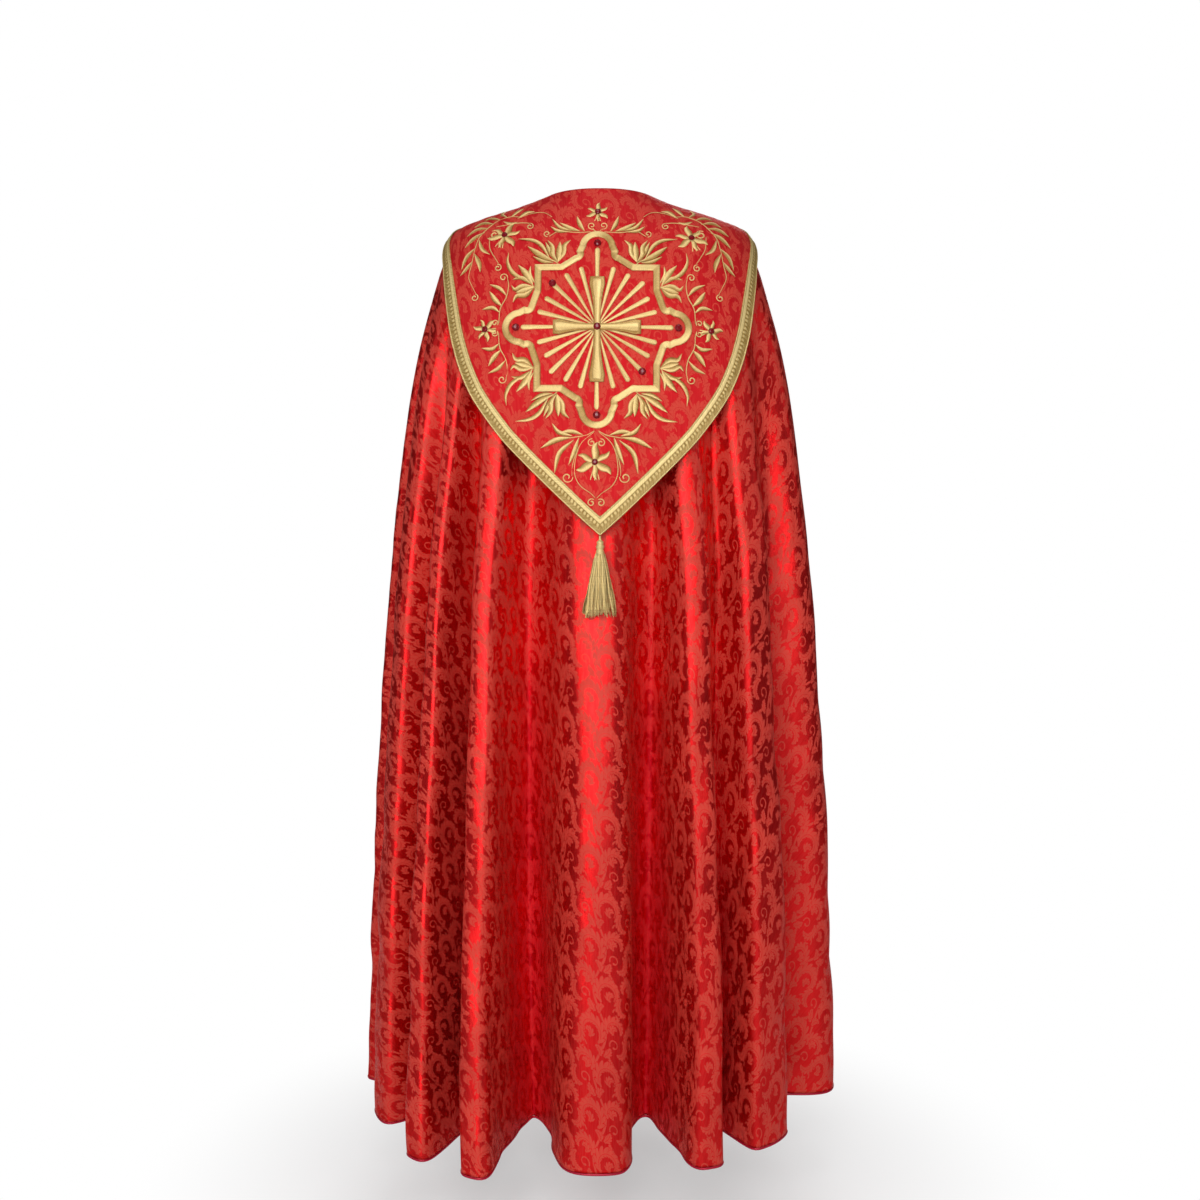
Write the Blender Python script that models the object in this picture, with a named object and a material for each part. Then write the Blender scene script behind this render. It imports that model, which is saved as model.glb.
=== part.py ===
"""A cope: the half-circle cloak of a priest, in red damask, worn open down the front.

The frame: +Z is up, the wearer looks along +Y, and the origin is the middle of the neck
hole, where the wearer's neck and shoulders hold the cope up. Metres throughout.

The body is one surface. A table of rings gives the outline that the cloth touches, from
the neckline to the hem, and a table of folds says where that cloth leaves the outline and
runs inward. How deep the folds go at each ring follows from the cut: a half circle has
more cloth in each ring than the outline needs, and the folds take up just that much.
The hood, its galloon and its embroidery are made from the same outline, moved out.
"""
import math

import bpy
import bmesh
import numpy as np
from mathutils import Matrix, Vector
from mathutils.geometry import tessellate_polygon

# ---------------------------------------------------------------- driving dimensions
GAP = 0.0003                 # between two pieces that touch
SEAM_GAP = 0.0004            # between two panels, along the ring
BODY_WALL = 0.0016           # damask with its lining
HOOD_WALL = 0.0024           # damask on a stiff interlining
NECK_RADIUS_IN_CUT = 0.145   # of the curve that is cut out of the half circle
COLUMNS_PER_FOLD = 4         # mesh columns from a crest to its valley
ROWS_PER_RING = 1.25         # mesh rows for each row of the ring table
HOOD_COLUMNS, HOOD_ROWS = 26, 11         # columns on each side of the middle
GALLOON_COLUMNS = 36                     # on each side of the hood's point

HOOD_LIFT_TOP = BODY_WALL / 2 + 0.0010   # of its inner face off the outline, at the neckline
HOOD_LIFT_TIP = 0.0210                   # and at the height of its point
HOOD_REACH = 0.556           # from the neckline to the point, down the middle of the back
GALLOON_WIDTH = 0.0215
GALLOON_THICK = 0.0012
STITCH_GAP = 0.0007          # galloon and embroidery over the hood's flat facets
STITCH_THICK = 0.0012
STITCH_FACET = 0.030         # longest edge in a piece of embroidery, so that it bends
SHOULDER_FACET = 0.013       # and where the hood turns over the shoulders

PIPING_RADIUS = 0.0018
TASSEL_LENGTH = 0.118
STONE_RADIUS = 0.0058

MORSE_HALF_ANGLE = 27.0      # degrees each side of the middle of the chest
MORSE_TOP, MORSE_BOTTOM = 3.25, 4.15     # in rows of the ring table

# One row for each ring of the outline, neckline first. Heights are given at the side,
# at the back and at the front, because a ring slopes over the shoulders.
RING_COLUMNS = ("half_width", "back", "front", "side_z", "back_z", "front_z", "square")
RINGS = np.array([
    (0.086, 0.080, 0.070, 0.014, 0.022, -0.060, 0.00),
    (0.134, 0.104, 0.093, -0.004, -0.015, -0.088, 0.01),
    (0.187, 0.128, 0.113, -0.021, -0.060, -0.125, 0.03),
    (0.228, 0.147, 0.128, -0.043, -0.110, -0.170, 0.05),
    (0.249, 0.159, 0.138, -0.085, -0.165, -0.220, 0.05),
    (0.268, 0.168, 0.145, -0.145, -0.225, -0.275, 0.05),
    (0.291, 0.177, 0.153, -0.235, -0.312, -0.350, 0.05),
    (0.312, 0.191, 0.166, -0.360, -0.424, -0.450, 0.04),
    (0.334, 0.213, 0.188, -0.562, -0.598, -0.612, 0.04),
    (0.353, 0.244, 0.216, -0.815, -0.832, -0.834, 0.03),
    (0.367, 0.281, 0.247, -1.096, -1.112, -1.104, 0.03),
    (0.377, 0.323, 0.285, -1.414, -1.432, -1.410, 0.02),
])

# One row for each crest and valley, from the left front edge round the back to the right
# one. Angles are degrees round the outline from the middle of the back, at the neckline
# and at the hem. Depth is how far the cloth lies inside the outline at the hem, and lean
# makes the flank on the way to the next row steeper: 0.16 is upright, more overhangs.
FOLD_COLUMNS = ("kind", "neck_angle", "hem_angle", "depth", "lean")
FOLDS = [
    ("edge", -162, -171, 0.000, 0.02),
    ("valley", -151, -163, 0.110, 0.08),
    ("crest", -138, -152, 0.000, 0.12),
    ("valley", -125, -138, 0.170, 0.12),
    ("crest", -113, -124, -0.010, 0.12),
    ("valley", -100, -110, 0.165, 0.12),
    ("crest", -88, -96, -0.006, 0.10),
    ("valley", -76, -84, 0.120, 0.10),
    ("crest", -61, -67, 0.005, 0.12),
    ("valley", -50, -51, 0.150, 0.12),
    ("crest", -43, -42, -0.022, 0.14),
    ("valley", -36, -35, 0.190, 0.12),
    ("crest", -28, -26, -0.028, 0.16),
    ("valley", -18, -20, 0.205, 0.05),
    ("crest", 0, 0, 0.017, 0.13),
    ("valley", 13, 13.5, 0.215, 0.04),
    ("crest", 21, 24, 0.010, 0.14),
    ("valley", 31, 31.5, 0.150, 0.10),
    ("crest", 39, 41, 0.025, 0.15),
    ("valley", 52, 66, 0.150, 0.06),
    ("crest", 72, 92, -0.004, 0.12),
    ("valley", 88, 104, 0.150, 0.12),
    ("crest", 104, 118, 0.000, 0.12),
    ("valley", 117, 131, 0.170, 0.12),
    ("crest", 130, 144, -0.005, 0.12),
    ("valley", 144, 157, 0.130, 0.10),
    ("edge", 162, 171, 0.000, 0.02),
]

# The panels, each from one row of the fold table to another: the seams lie in valleys.
PANELS = [
    ("front_left", 0, 3),
    ("side_left", 3, 7),
    ("back_left", 7, 11),
    ("back_middle", 11, 17),
    ("back_right", 17, 21),
    ("side_right", 21, 23),
    ("front_right", 23, 26),
]

# The hood's outline: how far below the neckline it ends, at angles from its middle.
HOOD_EDGE_COLUMNS = ("angle", "reach")
HOOD_EDGE = np.array([
    (0.0, HOOD_REACH), (12.5, 0.484), (24.5, 0.423), (35.0, 0.367), (44.0, 0.311),
    (54.5, 0.249), (64.0, 0.211), (78.0, 0.180), (94.0, 0.148), (108.0, 0.104),
    (120.0, 0.054), (128.0, 0.014),
])

# The emblem's place on the hood, and its band: half a width and half a height outside.
EMBLEM_ANGLE, EMBLEM_REACH = -0.8, 0.241
FRAME_HALF_WIDTH, FRAME_HALF_HEIGHT, FRAME_BAND = 0.1430, 0.1545, 0.0118

RED = (0.42, 0.012, 0.016)
CRIMSON = (0.36, 0.010, 0.030)
GOLD = (0.60, 0.42, 0.13)
STONE_RED = (0.20, 0.004, 0.010)


# ---------------------------------------------------------------- scene and materials
def clear_scene():
    for old in list(bpy.data.objects):
        bpy.data.objects.remove(old, do_unlink=True)


def material(name, colour, roughness, metallic=0.0):
    made = bpy.data.materials.new(name)
    made.use_nodes = True
    shader = made.node_tree.nodes["Principled BSDF"]
    shader.inputs["Base Color"].default_value = (*colour, 1.0)
    shader.inputs["Roughness"].default_value = roughness
    shader.inputs["Metallic"].default_value = metallic
    return made


def add_mesh(name, points, faces, finish, smooth=True):
    """An object from points and faces, in the cope's collection."""
    mesh = bpy.data.meshes.new(name)
    mesh.from_pydata([tuple(map(float, p)) for p in points], [], faces)
    mesh.validate()
    made = bpy.data.objects.new(name, mesh)
    collection.objects.link(made)
    mesh.materials.append(finish)
    if smooth:
        mesh.shade_smooth()
        mesh.set_sharp_from_angle(angle=math.radians(50))
    return made


# ---------------------------------------------------------------- the outline
def between(table, at):
    """Read a table of rows at fractional row numbers, along a Catmull-Rom curve."""
    at = np.asarray(at, float)
    last = len(table) - 1
    first = np.clip(np.floor(at).astype(int), 0, last - 1)
    part = (at - first)[..., None]
    rows = np.vstack([2 * table[0] - table[1], table, 2 * table[-1] - table[-2]])
    a, b, c, d = (rows[first + k] for k in range(4))
    return b + 0.5 * part * (c - a + part * (2 * a - 5 * b + 4 * c - d
                                             + part * (3 * (b - c) + d - a)))


def outline(angle, row):
    """The point of the outline at an angle (radians from the back) in a ring."""
    half_width, back, front, side_z, back_z, front_z, square = np.moveaxis(
        between(RINGS, row), -1, 0)
    across, along = np.sin(angle), np.cos(angle)
    x = half_width * (across + square * np.sin(3 * angle)) / (1 - square)
    y = (along - square * np.cos(3 * angle)) / (1 - square)
    y = np.where(along > 0, -back, -front) * y
    z = side_z + np.where(along > 0, back_z - side_z, front_z - side_z) * along ** 2
    return np.stack([x, y, z], -1)


def inward(angle):
    """The level direction in which a fold runs in: nearly straight in at the back."""
    turned = angle - 0.28 * np.sin(2 * angle)
    return np.stack([-np.sin(turned), np.cos(turned), 0 * turned], -1)


def ring_length(points):
    return np.linalg.norm(np.diff(points, axis=0), axis=1).sum()


BACK_ROWS = np.linspace(0, len(RINGS) - 1, 400)
BACK_LINE = outline(0 * BACK_ROWS, BACK_ROWS)
BACK_REACH = np.concatenate(
    [[0], np.cumsum(np.linalg.norm(np.diff(BACK_LINE, axis=0), axis=1))])


def row_at(reach):
    """The row of the ring table at a distance below the neckline, down the back."""
    return np.interp(reach, BACK_REACH, BACK_ROWS)


def reach_at(row):
    return np.interp(row, BACK_ROWS, BACK_REACH)


# ---------------------------------------------------------------- the folded body
NECK_ANGLES = np.radians([fold[1] for fold in FOLDS])
HEM_ANGLES = np.radians([fold[2] for fold in FOLDS])
DEPTHS = np.array([fold[3] for fold in FOLDS])
LEANS = np.array([fold[4] for fold in FOLDS])


def folded_ring(row, share, per_fold=COLUMNS_PER_FOLD):
    """One ring of the cloth, with its folds drawn in to a share of their full depth.

    From each crest to its valley the depth follows half a cosine wave, while the angle
    runs quicker at both ends than in the middle, which makes the flank steep.
    """
    down = reach_at(row) / BACK_REACH[-1]
    angles = NECK_ANGLES + (HEM_ANGLES - NECK_ANGLES) * down
    step = np.arange(per_fold) / per_fold
    run = step[None, :] + LEANS[:-1, None] * share * np.sin(2 * np.pi * step)[None, :]
    sink = (1 - np.cos(np.pi * step)) / 2
    angle = (angles[:-1, None] + np.diff(angles)[:, None] * run).ravel()
    depth = (DEPTHS[:-1, None] + np.diff(DEPTHS)[:, None] * sink[None, :]).ravel()
    angle = np.append(angle, angles[-1])
    depth = np.append(depth, DEPTHS[-1]) * share
    return outline(angle, np.full(angle.shape, row)) + inward(angle) * depth[:, None]


def fold_share(row, cut_angle):
    """How deep the folds of a ring must be to take up the cloth that the cut gives it.

    Where the outline alone is as long as the cloth, the blend leaves a trace of a fold,
    so that the folds grow out of the shoulders without a crease.
    """
    fine = 12
    plain = ring_length(folded_ring(row, 0.0, fine))
    cloth = cut_angle * (NECK_RADIUS_IN_CUT + reach_at(row))
    wanted = (plain ** 24 + cloth ** 24) ** (1 / 24)
    low, high = 0.0, 1.5
    for _ in range(22):
        middle = (low + high) / 2
        if ring_length(folded_ring(row, middle, fine)) < wanted:
            low = middle
        else:
            high = middle
    return low


def body_surface():
    """The middle surface of the cloth (rows x columns x 3) and its outward normals."""
    last = len(RINGS) - 1
    hem = ring_length(folded_ring(last, 1.0, 12))
    cut_angle = hem / (NECK_RADIUS_IN_CUT + BACK_REACH[-1])
    rows = np.linspace(0, last, int(last * ROWS_PER_RING) + 1)
    surface = np.array([folded_ring(row, fold_share(row, cut_angle)) for row in rows])
    surface[-1] = folded_ring(last, 1.0)
    return surface, surface_normals(surface)


def surface_normals(surface):
    """Unit normals of a grid of points, from the grid's two directions, facing out."""
    down = np.gradient(surface, axis=0)
    round_ = np.gradient(surface, axis=1)
    normal = np.cross(down, round_)
    return normal / np.linalg.norm(normal, axis=-1, keepdims=True)


def wall(name, outer, inner, finish):
    """A closed wall between two grids of points that match one to one."""
    rows, columns = outer.shape[:2]
    index = np.arange(rows * columns).reshape(rows, columns)
    back = index + rows * columns

    def quads(grid, flip):
        a, b, c, d = grid[:-1, :-1], grid[1:, :-1], grid[1:, 1:], grid[:-1, 1:]
        order = (a, d, c, b) if flip else (a, b, c, d)
        return np.stack(order, -1).reshape(-1, 4).tolist()

    def rim(front_line, back_line):
        return [(front_line[k], back_line[k], back_line[k + 1], front_line[k + 1])
                for k in range(len(front_line) - 1)]

    faces = quads(index, False) + quads(back, True)
    faces += rim(index[-1], back[-1]) + rim(index[0, ::-1], back[0, ::-1])
    faces += rim(index[::-1, -1], back[::-1, -1]) + rim(index[:, 0], back[:, 0])
    faces = [tuple(int(i) for i in face) for face in faces]
    return add_mesh(name, np.vstack([outer.reshape(-1, 3), inner.reshape(-1, 3)]),
                    faces, finish)


def make_body(surface, normals, finish):
    """The seven panels, each drawn back from its seams by half of their gap."""
    for name, first, last in PANELS:
        span = slice(first * COLUMNS_PER_FOLD, last * COLUMNS_PER_FOLD + 1)
        panel, out = surface[:, span].copy(), normals[:, span]
        for side, sign in ((0, 1), (-1, -1)):
            along = np.diff(panel, axis=1)[:, side]
            along /= np.linalg.norm(along, axis=1, keepdims=True)
            panel[:, side] += sign * along * SEAM_GAP / 2
        half = out * BODY_WALL / 2
        wall("panel_" + name, panel + half, panel - half, finish)


def make_piping(surface, finish):
    """A rolled cord down one front edge, round the hem and up the other front edge."""
    clear = PIPING_RADIUS + GAP
    down = surface[-1] - surface[-2]
    down /= np.linalg.norm(down, axis=1, keepdims=True)
    left = surface[:, 0] - surface[:, 1]
    left /= np.linalg.norm(left, axis=1, keepdims=True)
    right = surface[:, -1] - surface[:, -2]
    right /= np.linalg.norm(right, axis=1, keepdims=True)
    hem = surface[-1] + down * clear
    left_line = surface[:, 0] + left * clear
    right_line = surface[:, -1] + right * clear
    left_corner = left_line[-1] + down[0] * clear
    right_corner = right_line[-1] + down[-1] * clear
    points = np.vstack([left_line[:-1], [left_corner], hem[1:-1], [right_corner],
                        right_line[:-1][::-1]])
    curve = bpy.data.curves.new("hem_piping", "CURVE")
    curve.dimensions = "3D"
    spline = curve.splines.new("POLY")
    spline.points.add(len(points) - 1)
    for point, place in zip(spline.points, points):
        point.co = (*place, 1.0)
    curve.bevel_depth = PIPING_RADIUS
    curve.bevel_resolution = 0
    curve.use_fill_caps = True
    curve.materials.append(finish)
    collection.objects.link(bpy.data.objects.new("hem_piping", curve))


# ---------------------------------------------------------------- the hood's surface
def lifted(angle, reach, lift):
    """A point over the outline, moved out along its normal; the arrays are broadcast."""
    angle, reach = np.broadcast_arrays(np.asarray(angle, float), np.asarray(reach, float))
    small = 1e-4
    round_ = outline(angle + small, row_at(reach)) - outline(angle - small, row_at(reach))
    down = outline(angle, row_at(reach + small)) - outline(angle, row_at(reach - small))
    normal = np.cross(down, round_)
    normal /= np.linalg.norm(normal, axis=-1, keepdims=True)
    return outline(angle, row_at(reach)) + normal * np.asarray(lift)[..., None]


def hood_lift(reach):
    """The hood lies close at the neck and hangs a little free lower down."""
    return HOOD_LIFT_TOP + (HOOD_LIFT_TIP - HOOD_LIFT_TOP) * (reach / HOOD_REACH) ** 1.25


def on_hood(angle, reach, above=0.0):
    """A point over the hood's outer face."""
    return lifted(angle, reach, hood_lift(np.asarray(reach, float)) + HOOD_WALL + above)


def hood_edge(angle):
    """How far the hood reaches below the neckline at an angle, on both sides alike."""
    at = np.interp(np.degrees(np.abs(angle)), HOOD_EDGE[:, 0], np.arange(len(HOOD_EDGE)))
    return between(HOOD_EDGE, at)[..., 1]


def make_hood(finish):
    end = HOOD_EDGE[-1, 0]
    side = np.linspace(5, end, HOOD_COLUMNS)
    angle = np.radians(np.concatenate([-side[::-1], [0], side]))[None, :]
    share = np.linspace(0.004, 1.0, HOOD_ROWS)[:, None]
    reach = share * hood_edge(angle)
    outer = on_hood(angle, reach)
    inner = lifted(angle, reach, hood_lift(reach))
    wall("hood", outer, inner, finish)


def make_galloon(finish):
    """A flat woven band on the hood, its outer side on the hood's edge."""
    end = HOOD_EDGE[-1, 0] - 3
    side = np.linspace(5, end, GALLOON_COLUMNS)
    angle = np.radians(np.concatenate([-side[::-1], [0], side]))
    reach = hood_edge(angle)
    edge = on_hood(angle, reach)
    step = np.diff(edge, axis=0)
    step /= np.linalg.norm(step, axis=1, keepdims=True)
    before = np.vstack([step[:1], step])
    after = np.vstack([step, step[-1:]])
    along = before + after
    mitre = np.linalg.norm(along, axis=1) / 2
    along /= np.linalg.norm(along, axis=1, keepdims=True)
    small = 1e-4
    by_angle = (on_hood(angle + small, reach) - on_hood(angle - small, reach)) / (2 * small)
    by_reach = (on_hood(angle, reach + small) - on_hood(angle, reach - small)) / (2 * small)
    normal = np.cross(by_reach, by_angle)
    normal /= np.linalg.norm(normal, axis=1, keepdims=True)
    across = np.cross(normal, along) * (GALLOON_WIDTH / mitre)[:, None]
    # the move across, as a change of angle and of reach
    basis = np.stack([by_angle, by_reach], -1)
    gram = np.einsum("nki,nkj->nij", basis, basis)
    move = np.linalg.solve(gram, np.einsum("nki,nk->ni", basis, across)[..., None])[..., 0]
    share = np.linspace(1.0, 0.0, 3)[:, None]
    angles = angle[None, :] + share * move[None, :, 0]
    reaches = np.maximum(reach[None, :] + share * move[None, :, 1], 0.002)
    outer = on_hood(angles, reaches, STITCH_GAP + GALLOON_THICK)
    inner = on_hood(angles, reaches, STITCH_GAP)
    wall("galloon", outer, inner, finish)


# ---------------------------------------------------------------- embroidery
def place_flat(points, angle, reach, turn=0.0):
    """Where flat stitch drawings land on the hood, as angles and reaches.

    The drawing's plane touches the hood at the given place, with its second axis up the
    hood. Each point is carried straight onto the hood, by Newton's method.
    """
    points = np.asarray(points, float)
    angle, reach = math.radians(angle), reach
    small = 1e-4
    middle = on_hood(angle, reach)
    up = on_hood(angle, reach - small) - on_hood(angle, reach + small)
    up /= np.linalg.norm(up)
    side = on_hood(angle + small, reach) - on_hood(angle - small, reach)
    side -= up * (side @ up)
    side /= np.linalg.norm(side)
    cosine, sine = math.cos(math.radians(turn)), math.sin(math.radians(turn))
    axes = np.array([cosine * side + sine * up, cosine * up - sine * side])
    angles = np.full(len(points), angle)
    reaches = np.full(len(points), reach)
    for _ in range(12):
        here = (on_hood(angles, reaches) - middle) @ axes.T
        by_angle = (on_hood(angles + small, reaches) - middle) @ axes.T - here
        by_reach = (on_hood(angles, reaches + small) - middle) @ axes.T - here
        missing = points - here
        area = by_angle[:, 0] * by_reach[:, 1] - by_angle[:, 1] * by_reach[:, 0]
        turn_by = (missing[:, 0] * by_reach[:, 1] - missing[:, 1] * by_reach[:, 0]) / area
        drop_by = (by_angle[:, 0] * missing[:, 1] - by_angle[:, 1] * missing[:, 0]) / area
        angles = angles + np.clip(turn_by * small, -0.2, 0.2)
        reaches = np.clip(reaches + np.clip(drop_by * small, -0.05, 0.05), 0.003, 0.6)
    return angles, reaches


def filled(outline_points, facet):
    """A flat mesh inside a drawn outline, its long edges split so that it can bend."""
    shape = bmesh.new()
    corners = [shape.verts.new((x, y, 0.0)) for x, y in outline_points]
    for a, b, c in tessellate_polygon([[vertex.co for vertex in corners]]):
        face = shape.faces.new((corners[a], corners[b], corners[c]))
        face.normal_update()
        if face.normal.z < 0:
            face.normal_flip()
    for _ in range(3):
        long_edges = [edge for edge in shape.edges if edge.calc_length() > facet]
        bmesh.ops.subdivide_edges(shape, edges=long_edges, cuts=1)
        bmesh.ops.triangulate(shape, faces=shape.faces)
    return shape


def stitch_patch(name, outline_points, place, finish, layer=0, facet=STITCH_FACET):
    """Satin stitch as one flat piece: a drawn outline, filled and laid on the hood."""
    shape = filled(outline_points, facet)
    shape.verts.index_update()
    angles, reaches = place_flat([vertex.co[:2] for vertex in shape.verts], *place)
    base = STITCH_GAP + layer * (STITCH_THICK + STITCH_GAP)
    outer = on_hood(angles, reaches, base + STITCH_THICK)
    inner = on_hood(angles, reaches, base)
    count = len(outer)
    faces = []
    for face in shape.faces:
        ring = [vertex.index for vertex in face.verts]
        faces.append(ring)
        faces.append([index + count for index in reversed(ring)])
        for loop in face.loops:
            if loop.edge.is_boundary:
                start, end = loop.vert.index, loop.link_loop_next.vert.index
                faces.append([start, start + count, end + count, end])
    shape.free()
    return add_mesh(name, np.vstack([outer, inner]), faces, finish)


def arc(middle, radius, start, end, count):
    """Points on an arc, its angles in degrees, both ends included."""
    at = np.radians(np.linspace(start, end, count))
    return np.stack([middle[0] + radius * np.cos(at), middle[1] + radius * np.sin(at)], -1)


def frame_line(half_width, half_height):
    """The barbed quatrefoil: a round lobe on each side and a square barb on each corner."""
    lobe = 0.0225
    quarter = np.vstack([
        arc((0.0, half_height - lobe), lobe, 90, 5, 6),
        arc((lobe + 0.0105, half_height - lobe - 0.011), 0.0075, 150, 262, 4),
        [(0.054, 0.0935), (0.0895, 0.0935), (0.0895, 0.0575)],
        arc((half_width - lobe - 0.0095, lobe + 0.0105), 0.0075, 188, 300, 4),
        arc((half_width - lobe, 0.0), lobe, 85, 0, 6),
    ])
    right = np.vstack([quarter, (quarter * (1, -1))[::-1][1:]])
    return np.vstack([right, (right * (-1, 1))[::-1][1:-1]])


def offset_line(points, distance):
    """A closed line moved to its left by a distance, mitred at its corners."""
    ahead = np.roll(points, -1, axis=0) - points
    ahead /= np.linalg.norm(ahead, axis=1, keepdims=True)
    behind = np.roll(ahead, 1, axis=0)
    along = ahead + behind
    along /= np.linalg.norm(along, axis=1, keepdims=True)
    stretch = 1 / np.maximum((along * ahead).sum(axis=1), 0.6)
    left = np.stack([-along[:, 1], along[:, 0]], -1)
    return points + left * (distance * stretch)[:, None]


def make_frame(finish):
    """The emblem's band, a closed ring of four-cornered sections on the hood."""
    line = frame_line(FRAME_HALF_WIDTH - FRAME_BAND / 2, FRAME_HALF_HEIGHT - FRAME_BAND / 2)
    place = (EMBLEM_ANGLE, EMBLEM_REACH)
    corners = []
    for distance, above in ((FRAME_BAND / 2, STITCH_GAP), (FRAME_BAND / 2, STITCH_THICK * 2),
                            (-FRAME_BAND / 2, STITCH_THICK * 2), (-FRAME_BAND / 2, STITCH_GAP)):
        corners.append(on_hood(*place_flat(offset_line(line, distance), *place), above))
    points = np.stack(corners, 1)
    count = len(line)
    faces = []
    for k in range(count):
        j = (k + 1) % count
        for c in range(4):
            d = (c + 1) % 4
            faces.append((4 * k + c, 4 * k + d, 4 * j + d, 4 * j + c))
    add_mesh("emblem_frame", points.reshape(-1, 3), faces, finish)


# Lengths of the rays over one quarter, from the upright one to the level one.
RAY_LENGTHS = (0.128, 0.096, 0.087, 0.100, 0.083, 0.092, 0.116)
RAY_STEP = 15.0
RAY_ROOT, RAY_TIP = 0.0013, 0.0034       # half widths
HUB_RADIUS = 0.022


def make_sunburst(finish):
    """A hub and twenty-four rays that widen to round ends, as one piece."""
    points = []
    for k in range(24):
        quarter = k % 12
        length = RAY_LENGTHS[quarter if quarter <= 6 else 12 - quarter]
        heading = math.radians(90 - k * RAY_STEP)
        along = np.array([math.cos(heading), math.sin(heading)])
        across = np.array([-along[1], along[0]])
        reach = np.array([HUB_RADIUS, 0.045, 0.07, length - RAY_TIP])
        half = np.interp(reach, [HUB_RADIUS, length], [RAY_ROOT, RAY_TIP])
        out = reach[:, None] * along + half[:, None] * across
        back = (reach[:, None] * along - half[:, None] * across)[::-1]
        points.append(np.vstack([out, [along * length], back]))
    stitch_patch("sunburst", np.vstack(points), (EMBLEM_ANGLE, EMBLEM_REACH), finish)


CROSS_UP, CROSS_DOWN, CROSS_SIDE = 0.078, 0.084, 0.066
CROSS_WAIST, CROSS_END = 0.0058, 0.0165      # half widths at the middle and at the ends


def make_cross(finish):
    """A cross with arms that flare to shallow, notched ends."""
    points = []
    for heading, length in ((90, CROSS_UP), (0, CROSS_SIDE), (-90, CROSS_DOWN),
                            (180, CROSS_SIDE)):
        along = np.array([math.cos(math.radians(heading)), math.sin(math.radians(heading))])
        across = np.array([-along[1], along[0]])
        reach = np.array([CROSS_WAIST, length * 0.4, length * 0.7, length])
        half = CROSS_WAIST + (CROSS_END - CROSS_WAIST) * (reach / length) ** 3
        half[0] = CROSS_WAIST
        out = reach[:, None] * along + half[:, None] * across
        back = (reach[:, None] * along - half[:, None] * across)[::-1]
        points.append(np.vstack([out, [along * (length - 0.005)], back[:-1]]))
    stitch_patch("emblem_cross", np.vstack(points), (EMBLEM_ANGLE, EMBLEM_REACH), finish, 1)


# Place on the hood (degrees, reach), size (half a petal span) and turn of each lily.
LILY_COLUMNS = ("name", "angle", "reach", "size", "turn")
LILIES = [
    ("top", -1.2, 0.052, 0.019, 0),
    ("left", -33.5, 0.269, 0.019, 90),
    ("right", 32.0, 0.270, 0.019, -90),
    ("bottom", -1.2, 0.446, 0.030, 0),
    ("shoulder_left", -39.5, 0.118, 0.027, 20),
    ("shoulder_right", 36.5, 0.121, 0.027, -20),
]


def lily_outline(size):
    """Six pointed petals in turn long and short, as a star with swollen arms."""
    points = []
    for k in range(6):
        heading = 90 + 60 * k
        reach = size * (1.0 if k % 2 == 0 else 0.86)
        for turn, share in ((-30, 0.30), (-15, 0.62), (0, 1.0), (15, 0.62)):
            at = math.radians(heading + turn)
            points.append((share * reach * math.cos(at), share * reach * math.sin(at)))
    return np.array(points)


def make_lilies(finish):
    for name, angle, reach, size, turn in LILIES:
        stitch_patch("lily_" + name, lily_outline(size), (angle, reach, turn), finish)


# Leaf sprays: place of the root, heading of the stem (degrees from level, anticlockwise),
# its length, how far it curls, the leaf pairs on it and the length of the longest leaf.
SPRAY_COLUMNS = ("name", "angle", "reach", "heading", "length", "curl", "pairs", "leaf")
SPRAYS = [
    ("upper_left", -14.0, 0.137, 118, 0.030, 20, 2, 0.036),
    ("upper_right", 12.4, 0.137, 62, 0.030, -20, 2, 0.036),
    ("outer_upper_left", -25.0, 0.196, 140, 0.026, -20, 2, 0.036),
    ("outer_upper_right", 22.8, 0.196, 40, 0.026, 20, 2, 0.036),
    ("outer_lower_left", -22.5, 0.316, 212, 0.024, 10, 2, 0.030),
    ("outer_lower_right", 20.5, 0.316, -32, 0.024, -10, 2, 0.030),
    ("lower_left", -12.4, 0.352, 228, 0.030, -20, 2, 0.038),
    ("lower_right", 11.0, 0.352, -48, 0.030, 20, 2, 0.038),
    ("base_left", -4.6, 0.402, 192, 0.034, 20, 2, 0.030),
    ("base_right", 2.9, 0.402, -12, 0.034, -20, 2, 0.030),
    ("shoulder_left", -55.0, 0.088, 232, 0.040, 20, 3, 0.032),
    ("shoulder_right", 52.0, 0.088, -52, 0.040, -20, 3, 0.032),
]
STEM_HALF, LEAF_HALF = 0.0009, 0.0036


def spray_outline(length, curl, pairs, leaf):
    """A stem along +X that curls, with leaf pairs and an end leaf, as one closed line."""
    share = (np.arange(pairs) + 0.55) / pairs
    right, left = [(0.0, -STEM_HALF)], [(0.0, STEM_HALF)]
    for side, line in ((-1, right), (1, left)):
        for k, at in enumerate(share):
            root, way = length * at, math.radians(curl * at + side * 36)
            reach = leaf * (1.0 - 0.18 * k)
            along = np.array([math.cos(way), math.sin(way)])
            across = np.array([-along[1], along[0]]) * side
            bend = length * math.tan(math.radians(curl)) * at ** 2 / 2
            start = np.array([root, bend + side * STEM_HALF])
            for out, wide in ((0.0, 0.0), (0.45, 1.0), (1.0, 0.0), (0.5, -0.8), (0.10, -0.3)):
                line.append(tuple(start + along * reach * out + across * LEAF_HALF * wide))
    end = np.array([length, length * math.tan(math.radians(curl)) / 2])
    way = math.radians(curl)
    along, across = np.array([math.cos(way), math.sin(way)]), np.array([-math.sin(way), math.cos(way)])
    tip = [end - across * STEM_HALF, end + along * leaf * 0.4 - across * LEAF_HALF,
           end + along * leaf * 0.95, end + along * leaf * 0.4 + across * LEAF_HALF,
           end + across * STEM_HALF]
    return np.array(right + [tuple(p) for p in tip] + left[::-1])


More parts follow.
